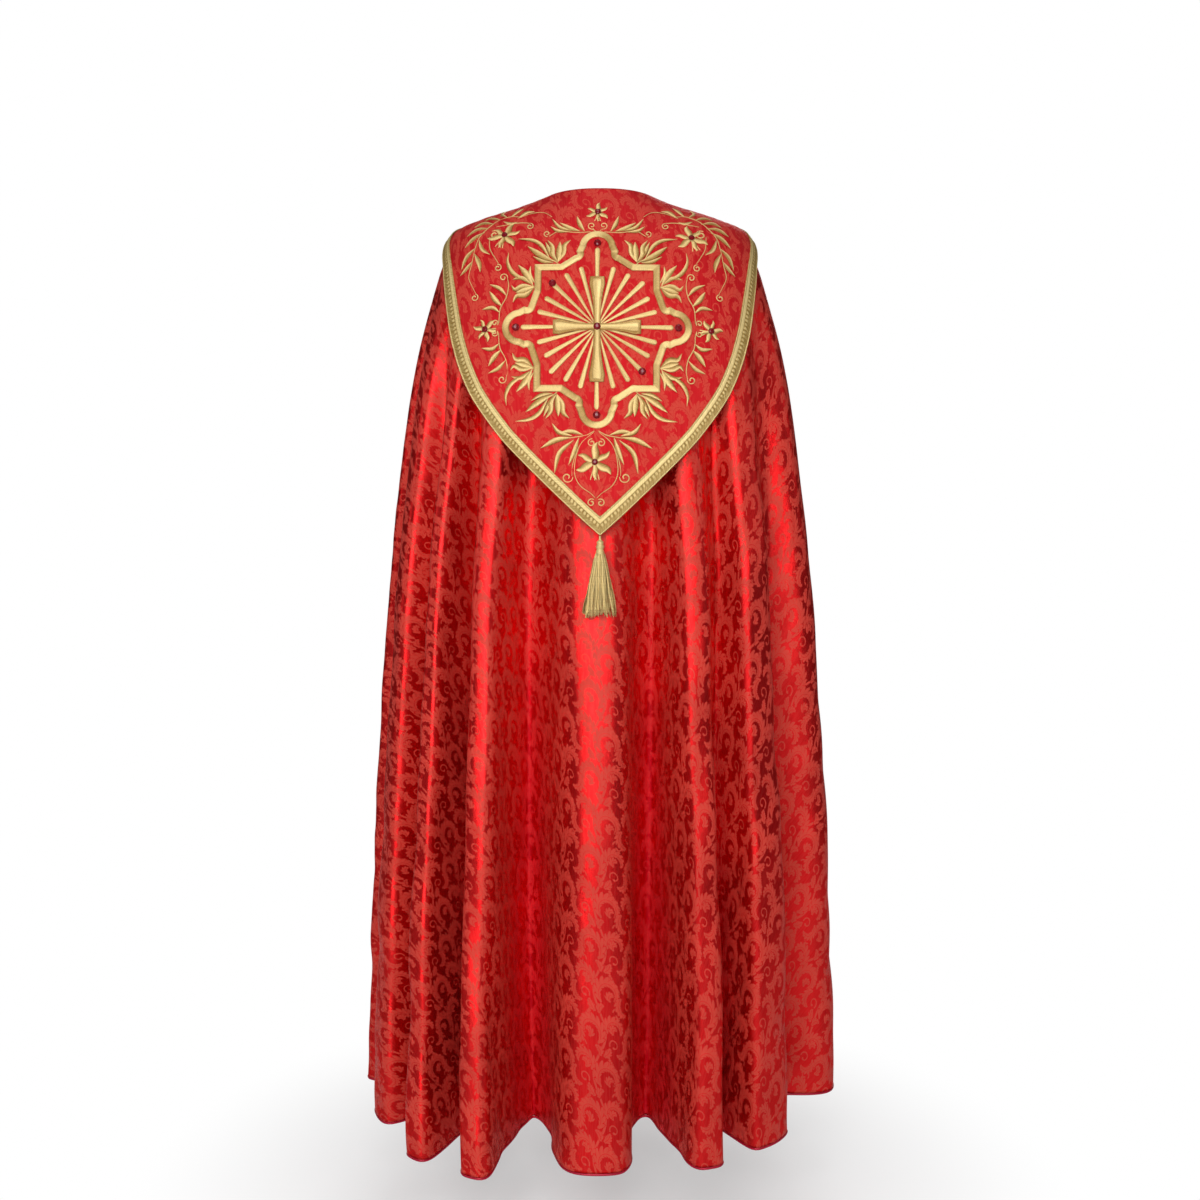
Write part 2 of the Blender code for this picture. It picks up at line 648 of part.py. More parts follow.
def make_sprays(finish):
    for name, angle, reach, heading, length, curl, pairs, leaf in SPRAYS:
        line = spray_outline(length, curl, pairs, leaf)
        facet = SHOULDER_FACET if name.startswith("shoulder") else STITCH_FACET
        stitch_patch("spray_" + name, line, (angle, reach, heading), finish, facet=facet)


def make_stones(finish):
    """Faceted red stones: on the rays' ends, at the emblem's middle and in the lilies."""
    place = (EMBLEM_ANGLE, EMBLEM_REACH)
    in_emblem = {
        "middle": (0.0, 0.0), "top": (0.0, 0.133), "bottom": (0.0, -0.134),
        "left": (-0.122, 0.0), "right": (0.122, 0.0),
        "upper_left": (-0.0675, 0.0675), "lower_right": (0.0675, -0.0675),
    }
    seats = []
    for name, point in in_emblem.items():
        angles, reaches = place_flat([point], *place)
        seats.append((name, angles[0], reaches[0], STONE_RADIUS))
    for name, angle, reach, size, turn in LILIES:
        seats.append(("lily_" + name, math.radians(angle), reach, STONE_RADIUS * 0.85))
    small = 1e-4
    for name, angle, reach, radius in seats:
        layers = 2 if name == "middle" else 1
        above = STITCH_GAP + layers * (STITCH_THICK + STITCH_GAP)
        seat = on_hood(angle, reach, above)
        out = Vector(on_hood(angle, reach, above + small) - seat).normalized()
        mesh = bpy.data.meshes.new("stone_" + name)
        shape = bmesh.new()
        height = radius * 0.62
        bmesh.ops.create_cone(shape, cap_ends=True, segments=8, radius1=radius,
                              radius2=radius * 0.55, depth=height)
        turn = out.to_track_quat("Z", "Y").to_matrix().to_4x4()
        shape.transform(Matrix.Translation(Vector(seat) + out * height / 2) @ turn)
        shape.to_mesh(mesh)
        shape.free()
        mesh.materials.append(finish)
        collection.objects.link(bpy.data.objects.new("stone_" + name, mesh))


# ---------------------------------------------------------------- the tassel
# The turned part: radius and distance below the hood's point.
TASSEL_PROFILE_COLUMNS = ("radius", "drop")
TASSEL_PROFILE = [
    (0.0016, 0.0), (0.0016, 0.0060), (0.0048, 0.0075), (0.0056, 0.0100), (0.0046, 0.0120),
    (0.0060, 0.0145), (0.0062, 0.0170), (0.0046, 0.0190), (0.0058, 0.0215), (0.0066, 0.0260),
]
TASSEL_SECTORS, TASSEL_RINGS = 14, 5
SKIRT_SIDE, SKIRT_DEPTH = 0.0245, 0.0090     # half width and half depth of the skirt's end
STRAND_DROPS = (0.40, 1.0)             # places along the skirt


def make_tassel(finish):
    """A ringed head, and a skirt of strands that grow out of the cells of its underside."""
    tip = on_hood(0.0, HOOD_REACH)
    top = Vector((tip[0], tip[1], tip[2] - GAP))
    shape = bmesh.new()
    turns = [2 * math.pi * k / TASSEL_SECTORS for k in range(TASSEL_SECTORS)]
    rings = []
    for radius, drop in TASSEL_PROFILE:
        rings.append([shape.verts.new((radius * math.cos(t), radius * math.sin(t), -drop))
                      for t in turns])
    shape.faces.new(rings[0])
    for upper, lower in zip(rings, rings[1:]):
        for k in range(TASSEL_SECTORS):
            j = (k + 1) % TASSEL_SECTORS
            shape.faces.new((upper[k], lower[k], lower[j], upper[j]))
    head_radius, head_drop = TASSEL_PROFILE[-1]
    cells = []
    outer = rings[-1]
    for ring in range(TASSEL_RINGS - 1, -1, -1):
        radius = head_radius * ring / TASSEL_RINGS
        if ring:
            inner = [shape.verts.new((radius * math.cos(t), radius * math.sin(t), -head_drop))
                     for t in turns]
        else:
            inner = [shape.verts.new((0.0, 0.0, -head_drop))] * TASSEL_SECTORS
        for k in range(TASSEL_SECTORS):
            j = (k + 1) % TASSEL_SECTORS
            corners = (outer[k], inner[k], inner[j], outer[j])
            corners = corners if ring else (outer[k], inner[0], outer[j])
            cells.append(shape.faces.new(corners))
        outer = inner
    bmesh.ops.recalc_face_normals(shape, faces=shape.faces)
    bmesh.ops.inset_individual(shape, faces=cells, thickness=0.00022)
    skirt = TASSEL_LENGTH - head_drop
    for number, cell in enumerate(cells):
        start = cell.calc_center_median().copy()
        corners = [vertex.co - start for vertex in cell.verts]
        face = cell
        for drop in STRAND_DROPS:
            face = bmesh.ops.extrude_discrete_faces(shape, faces=[face])["faces"][0]
            spread = drop ** 0.8
            side = 1 + (SKIRT_SIDE / head_radius - 1) * spread
            depth = 1 + (SKIRT_DEPTH / head_radius - 1) * spread
            wave = 0.0006 * math.sin(5 * drop + 2.4 * number)
            ragged = 0.004 * math.sin(1.7 * number) if drop == 1.0 else 0.0
            middle = Vector((start.x * side + wave, start.y * depth,
                             -head_drop - skirt * drop + ragged))
            for vertex, corner in zip(face.verts, corners):
                vertex.co = middle + corner.normalized() * 0.00065
    shape.transform(Matrix.Translation(top))
    mesh = bpy.data.meshes.new("tassel")
    shape.to_mesh(mesh)
    shape.free()
    mesh.materials.append(finish)
    collection.objects.link(bpy.data.objects.new("tassel", mesh))


# ---------------------------------------------------------------- the clasp
def make_morse(finish, metal):
    """The band across the chest that holds the fronts together, and its plain boss."""
    half = math.radians(MORSE_HALF_ANGLE)
    angle = np.linspace(math.pi - half, math.pi + half, 15)[None, :]
    row = np.linspace(MORSE_TOP, MORSE_BOTTOM, 3)[:, None]
    reach = reach_at(row)
    off = BODY_WALL / 2 + PIPING_RADIUS
    wall("morse_band", lifted(angle, reach, off + 0.003), lifted(angle, reach, off), finish)
    middle = reach_at(np.array((MORSE_TOP + MORSE_BOTTOM) / 2))
    seat = Vector(lifted(math.pi, middle, off + 0.003 + GAP))
    out = Vector(lifted(math.pi, middle, off + 0.004)) - seat
    out.normalize()
    shape = bmesh.new()
    boss_radius, boss_height = 0.026, 0.006
    bmesh.ops.create_cone(shape, cap_ends=True, segments=24, radius1=boss_radius,
                          radius2=boss_radius * 0.72, depth=boss_height)
    turn = out.to_track_quat("Z", "Y").to_matrix().to_4x4()
    shape.transform(Matrix.Translation(seat + out * boss_height / 2) @ turn)
    mesh = bpy.data.meshes.new("morse_boss")
    shape.to_mesh(mesh)
    shape.free()
    mesh.materials.append(metal)
    collection.objects.link(bpy.data.objects.new("morse_boss", mesh))


# ---------------------------------------------------------------- the whole cope
clear_scene()
collection = bpy.data.collections.new("cope")
bpy.context.scene.collection.children.link(collection)
damask = material("red_damask", RED, 0.45)
piping_satin = material("crimson_satin", CRIMSON, 0.40)
woven_gold = material("woven_gold", GOLD, 0.38, 0.6)
thread_gold = material("gold_thread", GOLD, 0.32, 0.6)
red_glass = material("red_glass", STONE_RED, 0.10)

cloth, cloth_normals = body_surface()
make_body(cloth, cloth_normals, damask)
make_piping(cloth, piping_satin)
make_hood(damask)
make_galloon(woven_gold)
make_frame(thread_gold)
make_sunburst(thread_gold)
make_cross(thread_gold)
make_lilies(thread_gold)
make_sprays(thread_gold)
make_stones(red_glass)
make_tassel(thread_gold)
make_morse(damask, woven_gold)
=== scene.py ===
# %% [markdown]
# # A cope in red damask
# A cope is the half-circle cloak that a priest wears in procession. It hangs from the
# shoulders to the ankles, open down the front, with a shield-shaped hood on the back.
# This lesson dresses the plain frame of one: damask cloth with its folds, a crimson piping,
# the hood with its galloon, gold embroidery, red stones, a tassel and the clasp.
# Everything is in metres. +Z is up, the wearer looks along +Y, and the origin is the middle
# of the neck hole.

# %% Load the frame
import math
import bpy
import numpy as np
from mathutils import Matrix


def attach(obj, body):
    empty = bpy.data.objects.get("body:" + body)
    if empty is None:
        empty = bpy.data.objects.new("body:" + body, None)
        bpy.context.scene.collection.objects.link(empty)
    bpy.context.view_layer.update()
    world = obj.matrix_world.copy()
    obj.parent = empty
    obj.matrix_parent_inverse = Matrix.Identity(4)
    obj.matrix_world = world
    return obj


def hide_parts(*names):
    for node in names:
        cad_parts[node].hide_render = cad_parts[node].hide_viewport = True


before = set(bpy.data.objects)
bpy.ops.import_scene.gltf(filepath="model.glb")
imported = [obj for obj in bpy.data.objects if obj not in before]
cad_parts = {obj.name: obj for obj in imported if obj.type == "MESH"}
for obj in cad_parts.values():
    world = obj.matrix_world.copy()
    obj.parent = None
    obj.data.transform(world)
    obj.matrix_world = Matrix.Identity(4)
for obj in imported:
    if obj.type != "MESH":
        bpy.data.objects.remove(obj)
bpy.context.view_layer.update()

# %% [markdown]
# ## The camera
# A vestment on show is seen from behind, from far enough that the hem and the neckline keep
# their true proportions. A long lens at chest height does that; the small downward tilt
# and the small shift keep the upright folds upright.

# %% Camera
LENS, SENSOR = 47.70, 36.0  # millimetres
SHIFT, TILT = -0.06, 2.437  # a share of the picture's width, degrees downwards
lens = bpy.data.cameras.new("camera")
lens.lens, lens.sensor_width, lens.shift_y = LENS, SENSOR, SHIFT
camera = bpy.data.objects.new("camera", lens)
camera.location = (0.0, -2.569, -0.399)
camera.rotation_euler = (math.radians(90 - TILT), 0.0, 0.0)
bpy.context.scene.collection.objects.link(camera)
bpy.context.scene.camera = camera
bpy.context.scene.view_settings.view_transform = "Standard"
print("camera", camera.location[:])

# %% [markdown]
# ## Helpers for meshes
# Most pieces are grids of points worked out with numpy. One helper turns points and groups
# of faces into a mesh object, with any map or value that the material needs. The faces of a
# group all have the same number of corners, so that whole arrays go in at once.

# %% Mesh helper
def piece(name, points, groups, finishes, flat_groups=(), maps=None, values=None,
          finish_of=None):
    """A mesh object from points (n x 3) and groups of faces (m x corners, vertex numbers).

    The groups in flat_groups are shaded flat, maps gives UV maps and values gives float
    attributes, one row for each point, and finish_of gives each group's material number.
    """
    mesh = bpy.data.meshes.new(name)
    groups = [np.asarray(g, np.int32) for g in groups]
    sizes = np.concatenate([np.full(len(g), g.shape[1], np.int32) for g in groups])
    corners = np.concatenate([g.ravel() for g in groups])
    mesh.vertices.add(len(points))
    mesh.vertices.foreach_set("co", np.ascontiguousarray(points, np.float32).ravel())
    mesh.loops.add(len(corners))
    mesh.loops.foreach_set("vertex_index", corners)
    mesh.polygons.add(len(sizes))
    starts = np.concatenate([[0], np.cumsum(sizes)[:-1]]).astype(np.int32)
    mesh.polygons.foreach_set("loop_start", starts)
    mesh.polygons.foreach_set("loop_total", sizes)
    flat = np.concatenate([np.full(len(g), k in flat_groups) for k, g in enumerate(groups)])
    numbers = finish_of or [0] * len(groups)
    mesh.polygons.foreach_set("material_index", np.concatenate(
        [np.full(len(g), numbers[k], np.int32) for k, g in enumerate(groups)]))
    for key, table in (maps or {}).items():
        layer = mesh.uv_layers.new(name=key)
        layer.data.foreach_set("uv", np.ascontiguousarray(table[corners], np.float32).ravel())
    for key, row in (values or {}).items():
        mesh.attributes.new(key, "FLOAT", "POINT").data.foreach_set(
            "value", np.ascontiguousarray(row, np.float32))
    mesh.update(calc_edges=True)
    mesh.validate()
    mesh.polygons.foreach_set("use_smooth", ~flat)
    made = bpy.data.objects.new(name, mesh)
    bpy.context.scene.collection.objects.link(made)
    for finish in finishes:
        mesh.materials.append(finish)
    return made


def stands_for(made, node):
    """Every piece rides on the frame's one body. It replaces a plain node, if one is named."""
    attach(made, "root")
    if node:
        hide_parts(node)


def triangles(made):
    return sum(len(face.vertices) - 2 for face in made.data.polygons)


def numbered(rows, columns, start=0):
    """A grid of vertex numbers."""
    return start + np.arange(rows * columns).reshape(rows, columns)


def wrapped(grid):
    """A grid of vertex numbers that closes on itself: the first column follows the last."""
    return np.concatenate([grid, grid[:, :1]], axis=1)


def quads(grid, flip=False):
    """The quads of a grid of vertex numbers, turned over if flip."""
    a, b, c, d = grid[:-1, :-1], grid[1:, :-1], grid[1:, 1:], grid[:-1, 1:]
    order = (a, d, c, b) if flip else (a, b, c, d)
    return np.stack(order, -1).reshape(-1, 4)


def unit(vectors):
    return vectors / np.maximum(np.linalg.norm(vectors, axis=-1, keepdims=True), 1e-12)


def run_along(points, axis=0):
    """The distance along a line of points, or along the lines of a grid, from the first."""
    steps = np.diff(points, axis=axis, prepend=np.take(points, [0], axis=axis))
    return np.cumsum(np.linalg.norm(steps, axis=-1), axis=axis)


def points_at(line, run, at):
    """The points of a line at distances along it."""
    return np.stack([np.interp(at, run, column) for column in line.T], -1)


def listed(grid):
    """A grid of points or values as a list, one row for each vertex."""
    return grid.reshape(-1, *grid.shape[2:])


def circle(sides):
    """The angles of evenly spaced points round a circle."""
    return 2 * np.pi * np.arange(sides) / sides


def map_of(first, second):
    """A UV map from two values that broadcast to one grid."""
    return np.stack(np.broadcast_arrays(first, second), -1).reshape(-1, 2)


def smooth_step(low, high, value):
    part = np.clip((np.asarray(value, float) - low) / (high - low), 0, 1)
    return part * part * (3 - 2 * part)


# %% [markdown]
# ## The outline that the cloth hangs on
# The cloth touches a simple outline: over the shoulders near the neck, then straight down
# and a little out to the hem. A short table of rings holds it, and a smooth curve through the
# table's rows gives any ring between them. The frame was made from the same table, so the
# fine cloth lies where the plain one did.

# %% Rings of the outline
# half width, depths at the back and front, heights at the side, back and front, squareness
RINGS = np.array([
    (0.086, 0.080, 0.070, 0.014, 0.022, -0.060, 0.00),
    (0.134, 0.104, 0.093, -0.004, -0.015, -0.088, 0.01),
    (0.187, 0.128, 0.113, -0.021, -0.060, -0.125, 0.03),
    (0.228, 0.147, 0.128, -0.043, -0.110, -0.170, 0.05),
    (0.249, 0.159, 0.138, -0.085, -0.165, -0.220, 0.05),
    (0.268, 0.168, 0.145, -0.145, -0.225, -0.275, 0.05),
    (0.291, 0.177, 0.153, -0.235, -0.312, -0.350, 0.05),
    (0.312, 0.191, 0.166, -0.360, -0.424, -0.450, 0.04),
    (0.334, 0.213, 0.188, -0.562, -0.598, -0.612, 0.04),
    (0.353, 0.244, 0.216, -0.815, -0.832, -0.834, 0.03),
    (0.367, 0.281, 0.247, -1.096, -1.112, -1.104, 0.03),
    (0.377, 0.323, 0.285, -1.414, -1.432, -1.410, 0.02),
])


def between(table, at):
    """Read a table of rows at fractional row numbers, along a Catmull-Rom curve."""
    at = np.asarray(at, float)
    first = np.clip(np.floor(at).astype(int), 0, len(table) - 2)
    part = (at - first)[..., None]
    rows = np.vstack([2 * table[0] - table[1], table, 2 * table[-1] - table[-2]])
    a, b, c, d = (rows[first + k] for k in range(4))
    bend = 2 * a - 5 * b + 4 * c - d + part * (3 * (b - c) + d - a)
    return b + 0.5 * part * (c - a + part * bend)


def outline(angle, row):
    """The outline at an angle from the middle of the back: a slightly squared oval."""
    rings = np.moveaxis(between(RINGS, row), -1, 0)
    half_width, back, front, side_z, back_z, front_z, square = rings
    across, along = np.sin(angle), np.cos(angle)
    x = half_width * (across + square * np.sin(3 * angle)) / (1 - square)
    y = (along - square * np.cos(3 * angle)) / (1 - square)
    y = np.where(along > 0, -back, -front) * y
    z = side_z + np.where(along > 0, back_z - side_z, front_z - side_z) * along ** 2
    return np.stack([x, y, z], -1)


STRAIGHTENED = 0.28


def inward(angle):
    """The level direction in which a fold runs in: nearly straight in at the back."""
    heading = angle - STRAIGHTENED * np.sin(2 * angle)
    return np.stack([-np.sin(heading), np.cos(heading), 0 * heading], -1)


BACK_ROWS = np.linspace(0, len(RINGS) - 1, 400)
BACK_LINE = outline(0 * BACK_ROWS, BACK_ROWS)
BACK_REACH = run_along(BACK_LINE)


def row_at(reach):
    """The ring at a distance below the neckline, measured down the middle of the back."""
    return np.interp(reach, BACK_REACH, BACK_ROWS)


print("length down the back:", round(BACK_REACH[-1], 3), "m")

# %% [markdown]
# ## The folds
# The cope is cut as a half circle, so each ring of it has more cloth than the outline needs,
# and the rest runs in and out as folds. They hang from the shoulders and grow towards the
# hem. A cloth simulation could find them, but it would find others each time, so here the
# crests and valleys are a table, and only their depth is solved: as deep as the cut gives
# cloth for.

# %% Crests and valleys
# angle at the neckline and at the hem (degrees), depth at the hem, steepness of the next flank
FOLDS = np.array([
    (-162, -171, 0.000, 0.02), (-151, -163, 0.110, 0.08), (-138, -152, 0.000, 0.12),
    (-125, -138, 0.170, 0.12), (-113, -124, -0.010, 0.12), (-100, -110, 0.165, 0.12),
    (-88, -96, -0.006, 0.10), (-76, -84, 0.120, 0.10), (-61, -67, 0.005, 0.12),
    (-50, -51, 0.150, 0.12), (-43, -42, -0.022, 0.14), (-36, -35, 0.190, 0.12),
    (-28, -26, -0.028, 0.16), (-18, -20, 0.205, 0.05), (0, 0, 0.017, 0.13),
    (13, 13.5, 0.215, 0.04), (21, 24, 0.010, 0.14), (31, 31.5, 0.150, 0.10),
    (39, 41, 0.025, 0.15), (52, 66, 0.150, 0.06), (72, 92, -0.004, 0.12),
    (88, 104, 0.150, 0.12), (104, 118, 0.000, 0.12), (117, 131, 0.170, 0.12),
    (130, 144, -0.005, 0.12), (144, 157, 0.130, 0.10), (162, 171, 0.000, 0.02),
])
LAST_FOLD = len(FOLDS) - 1
# panels from one row of the table to another
PANELS = [("front_left", 0, 3), ("side_left", 3, 7), ("back_left", 7, 11),
          ("back_middle", 11, 17), ("back_right", 17, 21), ("side_right", 21, 23),
          ("front_right", 23, 26)]
NECK_RADIUS_IN_CUT = 0.145
CREST_BREADTH = 1.7


def fold_lines(place, reach, share):
    """The angle and the depth of the cloth at a place along the fold table, in one ring.

    From a crest to its valley the depth follows half a cosine wave, raised to a power that
    keeps the crest broad and the valley narrow, while the angle runs quicker at both ends
    than in the middle, which makes the flank steep.
    """
    down = reach / BACK_REACH[-1]
    first = np.clip(np.floor(place).astype(int), 0, LAST_FOLD - 1)
    step = place - first
    here, there = FOLDS[first], FOLDS[first + 1]
    start = here[..., 0] + (here[..., 1] - here[..., 0]) * down
    end = there[..., 0] + (there[..., 1] - there[..., 0]) * down
    run = step + here[..., 3] * share * np.sin(2 * np.pi * step)
    angle = np.radians(start + (end - start) * run)
    wave = (1 - np.cos(np.pi * step)) / 2
    wave = np.where(here[..., 2] < there[..., 2], wave ** CREST_BREADTH,
                    1 - (1 - wave) ** CREST_BREADTH)
    depth = here[..., 2] + (there[..., 2] - here[..., 2]) * wave
    return angle, depth * share


def folded(place, reach, share):
    """The cloth at a place along the fold table, in a ring at a reach, its folds at a share."""
    place, reach, share = np.broadcast_arrays(place, reach, share)
    angle, depth = fold_lines(place, reach, share)
    return outline(angle, row_at(reach)) + inward(angle) * depth[..., None]


def ring_length(reach, share):
    """The length of each ring, with its folds at a share of their depth."""
    place = np.linspace(0, LAST_FOLD, 12 * LAST_FOLD + 1)
    ring = folded(place[None, :], reach[:, None], share[:, None])
    return np.linalg.norm(np.diff(ring, axis=1), axis=-1).sum(axis=1)


HEM = BACK_REACH[-1:]
CUT_ANGLE = float((ring_length(HEM, np.ones(1)) / (NECK_RADIUS_IN_CUT + HEM))[0])


SOFT_LARGER = 24  # the larger of two lengths, with a soft change from one to the other
DEEPEST, HALVINGS = 1.5, 18


def fold_share(reach):
    """How deep the folds must be in each ring, found by halving an interval for all rings."""
    plain = ring_length(reach, 0 * reach)
    cut = CUT_ANGLE * (NECK_RADIUS_IN_CUT + reach)
    wanted = (plain ** SOFT_LARGER + cut ** SOFT_LARGER) ** (1 / SOFT_LARGER)
    low, high = 0 * reach, 0 * reach + DEEPEST
    for _ in range(HALVINGS):
        middle = (low + high) / 2
        short = ring_length(reach, middle) < wanted
        low, high = np.where(short, middle, low), np.where(short, high, middle)
    return low


FLAT_RADIUS = NECK_RADIUS_IN_CUT + BACK_REACH[-1]
FLAT_AREA = CUT_ANGLE / 2 * (FLAT_RADIUS ** 2 - NECK_RADIUS_IN_CUT ** 2)
print("cut: angle", round(math.degrees(CUT_ANGLE), 1), "radius", round(FLAT_RADIUS, 3),
      "hem", round(CUT_ANGLE * FLAT_RADIUS, 2), "area", round(FLAT_AREA, 2))

# %% [markdown]
# ## Helpers for materials
# A material is a tree of nodes. A few helpers keep the trees short to write: a node is added
# with its settings and what feeds it in one call, and a formula is written as a formula.
# Arithmetic on a Value makes one Math node for each sign.

# %% Node helpers
FLOAT, VECTOR = "NodeSocketFloat", "NodeSocketVector"


def feed(target, source):
    """Give an input a plain value, a colour, or a link from another node."""
    source = getattr(source, "socket", source)
    if isinstance(source, bpy.types.NodeSocket):
        target.id_data.links.new(source, target)
    elif target.type == "RGBA":
        target.default_value = (*source, 1)
    else:
        target.default_value = source


def feed_all(node, inputs):
    for key, source in inputs.items():
        feed(node.inputs[key], source)


def add(tree, kind, inputs=None, **settings):
    """A node with its settings, and with what feeds its inputs as a dictionary."""
    node = tree.nodes.new(kind)
    for key, value in settings.items():
        setattr(node, key, value)
    feed_all(node, inputs or {})
    return node


class Value:
    """A number that changes over the surface. Arithmetic on it makes Math nodes."""

    def __init__(self, socket):
        self.socket, self.tree = socket, socket.id_data

    def __add__(self, other):
        return reckon("ADD", self, other)

    def __sub__(self, other):
        return reckon("SUBTRACT", self, other)

    def __rsub__(self, other):
        return reckon("SUBTRACT", other, self)

    def __mul__(self, other):
        return reckon("MULTIPLY", self, other)

    def __truediv__(self, other):
        return reckon("DIVIDE", self, other)

    def __pow__(self, other):
        return reckon("POWER", self, other)

    def __abs__(self):
        return reckon("ABSOLUTE", self)

    __rmul__ = __mul__


def reckon(operation, *numbers):
    """A Math node on values and plain numbers."""
    tree = next(number.tree for number in numbers if isinstance(number, Value))
    node = add(tree, "ShaderNodeMath", dict(enumerate(numbers)), operation=operation)
    return Value(node.outputs[0])


def values_of(node, *names):
    """A node's named outputs as values, or all of them in their order."""
    return [Value(node.outputs[name]) for name in names or range(len(node.outputs))]


def parts_of(vector):
    """The three numbers of a vector."""
    return values_of(add(vector.id_data, "ShaderNodeSeparateXYZ", {0: vector}))


def ramp(value, low, high, out_low=0.0, out_high=1.0, smooth=True):
    """The value carried from the range low to high into another range, and held there."""
    node = add(value.tree, "ShaderNodeMapRange",
               {"Value": value, "From Min": low, "From Max": high, "To Min": out_low,
                "To Max": out_high}, interpolation_type="SMOOTHSTEP" if smooth else "LINEAR")
    return Value(node.outputs[0])


def blend_colour(share, first, second):
    """The first colour where the share is 0, and the second where it is 1."""
    return add(share.tree, "ShaderNodeMix", {0: share, 6: first, 7: second},
               data_type="RGBA").outputs[2]


def uneven(place, scale, detail, **more):
    """Noise at a place, as a value."""
    node = add(place.id_data, "ShaderNodeTexNoise",
               {"Vector": place, "Scale": scale, "Detail": detail, **more})
    return Value(node.outputs[0])


def raised(height, strength, distance):
    """The normals of a surface with fine relief of this height."""
    return add(height.tree, "ShaderNodeBump",
               {"Strength": strength, "Distance": distance, "Height": height}).outputs[0]


def new_group(name, inputs, outputs):
    """An empty node group with named sockets; inputs carry a kind and a first value."""
    group = bpy.data.node_groups.new(name, "ShaderNodeTree")
    for key, (kind, value) in inputs.items():
        socket = group.interface.new_socket(key, in_out="INPUT", socket_type=kind)
        if value is not None:
            socket.default_value = value
    for key, kind in outputs.items():
        group.interface.new_socket(key, in_out="OUTPUT", socket_type=kind)
    return group, group.nodes.new("NodeGroupInput"), group.nodes.new("NodeGroupOutput")


def new_finish(name):
    """A new material, its tree of nodes and its shader."""
    made = bpy.data.materials.new(name)
    made.use_nodes = True
    return made, made.node_tree, made.node_tree.nodes["Principled BSDF"]


print("a Value turns arithmetic into Math nodes")

# %% [markdown]
# ## Floor and light
# The cope hangs clear of the floor, as on a stand. The floor and the surroundings are pale
# and plain. One large soft light stands by the camera: satin answers it with a broad bright
# stripe on each crest that faces it, and lets the flanks fall dark. Weaker lights at the
# sides, in front of the wearer and above keep the folds readable from there. Seen from the
# camera, the floor turns into the white surroundings away from the cope, so that no line
# shows where it ends.

# %% Floor
FLOOR_DROP, FLOOR_REACH = -1.56, 9
FADE_START, FADE_END = 1.44, 1.74  # from the middle of the neck hole
pale, tree, shader = new_finish("pale_floor")
feed_all(shader, {"Base Color": (0.90, 0.90, 0.90), "Roughness": 0.7})
spot = add(tree, "ShaderNodeTexCoord").outputs["Object"]
far, = values_of(add(tree, "ShaderNodeVectorMath", {0: spot}, operation="LENGTH"), "Value")
from_camera = add(tree, "ShaderNodeLightPath").outputs["Is Camera Ray"]
white = add(tree, "ShaderNodeEmission")
mix = add(tree, "ShaderNodeMixShader", {"Fac": ramp(far, FADE_START, FADE_END) * from_camera,
                                        1: shader.outputs[0], 2: white.outputs[0]})
feed(tree.nodes["Material Output"].inputs["Surface"], mix.outputs[0])
corners = np.array([(x * FLOOR_REACH, y * FLOOR_REACH, FLOOR_DROP)
                    for x, y in ((-1, -1), (1, -1), (1, 1), (-1, 1))])
floor = piece("floor", corners, [[(0, 1, 2, 3)]], [pale])
print("floor at", FLOOR_DROP)


# %% Lights
def soft_light(name, place, target, size, power):
    """A square area light that faces a target."""
    data = bpy.data.lights.new(name, "AREA")
    data.shape, data.size, data.energy = "SQUARE", size, power
    made = bpy.data.objects.new(name, data)
    way = unit(np.array(target, float) - place)
    made.location = place
    made.rotation_euler = (math.acos(-way[2]), 0.0, math.atan2(-way[0], way[1]))
    bpy.context.scene.collection.objects.link(made)


# name, place, target, size in metres, power in watts
soft_light("key", (-0.35, -3.3, 0.35), (0, 0, -0.65), 1.8, 80)
soft_light("side_left", (-3.0, -0.6, 0.6), (0, 0, -0.6), 1.4, 10)
soft_light("side_right", (3.0, -0.9, 0.6), (0, 0, -0.6), 1.4, 9)
soft_light("front", (0.3, 3.2, 0.7), (0, 0, -0.6), 1.6, 40)
soft_light("top", (0.0, -0.6, 2.4), (0, 0, 0), 1.6, 22)

# %% Surroundings
# White for the camera, and a faint warm glow for all that they light
world = bpy.data.worlds.new("studio")
bpy.context.scene.world = world
world.use_nodes = True
tree = world.node_tree
glow = tree.nodes["Background"]
feed_all(glow, {"Color": (1.0, 0.97, 0.95), "Strength": 0.10})
seen = add(tree, "ShaderNodeBackground", {"Color": (1, 1, 1), "Strength": 1.0})
from_camera = add(tree, "ShaderNodeLightPath").outputs["Is Camera Ray"]
mix = add(tree, "ShaderNodeMixShader", {"Fac": from_camera, 1: glow.outputs[0],
                                        2: seen.outputs[0]})
feed(tree.nodes["World Output"].inputs["Surface"], mix.outputs[0])

# %% [markdown]
# ## Finishes for cloth
# Two effects serve several finishes, so each is a node group: a fine weave, and the damask's
# figure. The figure could be a picture, but a picture is stuck to one size and turns
# soft close by. Here it is drawn from arcs by its own formulas, so that its edges stay crisp.

# %% Group: weave
weave, entry, leave = new_group(
    "weave", {"Place": (VECTOR, None), "Threads per metre": (FLOAT, 1400.0)},
    {"Height": FLOAT, "Tone": FLOAT})
scaled = add(weave, "ShaderNodeVectorMath", {0: entry.outputs["Place"]}, operation="SCALE")
feed(scaled.inputs["Scale"], entry.outputs["Threads per metre"])
across, along, _ = parts_of(scaled.outputs[0])
twill = reckon("SINE", (across + along * 0.45) * 6.283)
stretch = add(weave, "ShaderNodeVectorMath", {0: scaled.outputs[0], 1: (0.35, 0.02, 1.0)},
              operation="MULTIPLY")
slub = uneven(stretch.outputs[0], 1.0, 2.0, Roughness=0.6)
feed(leave.inputs["Height"], twill * 0.5 + slub)
feed(leave.inputs["Tone"], slub)
print("group:", weave.name)

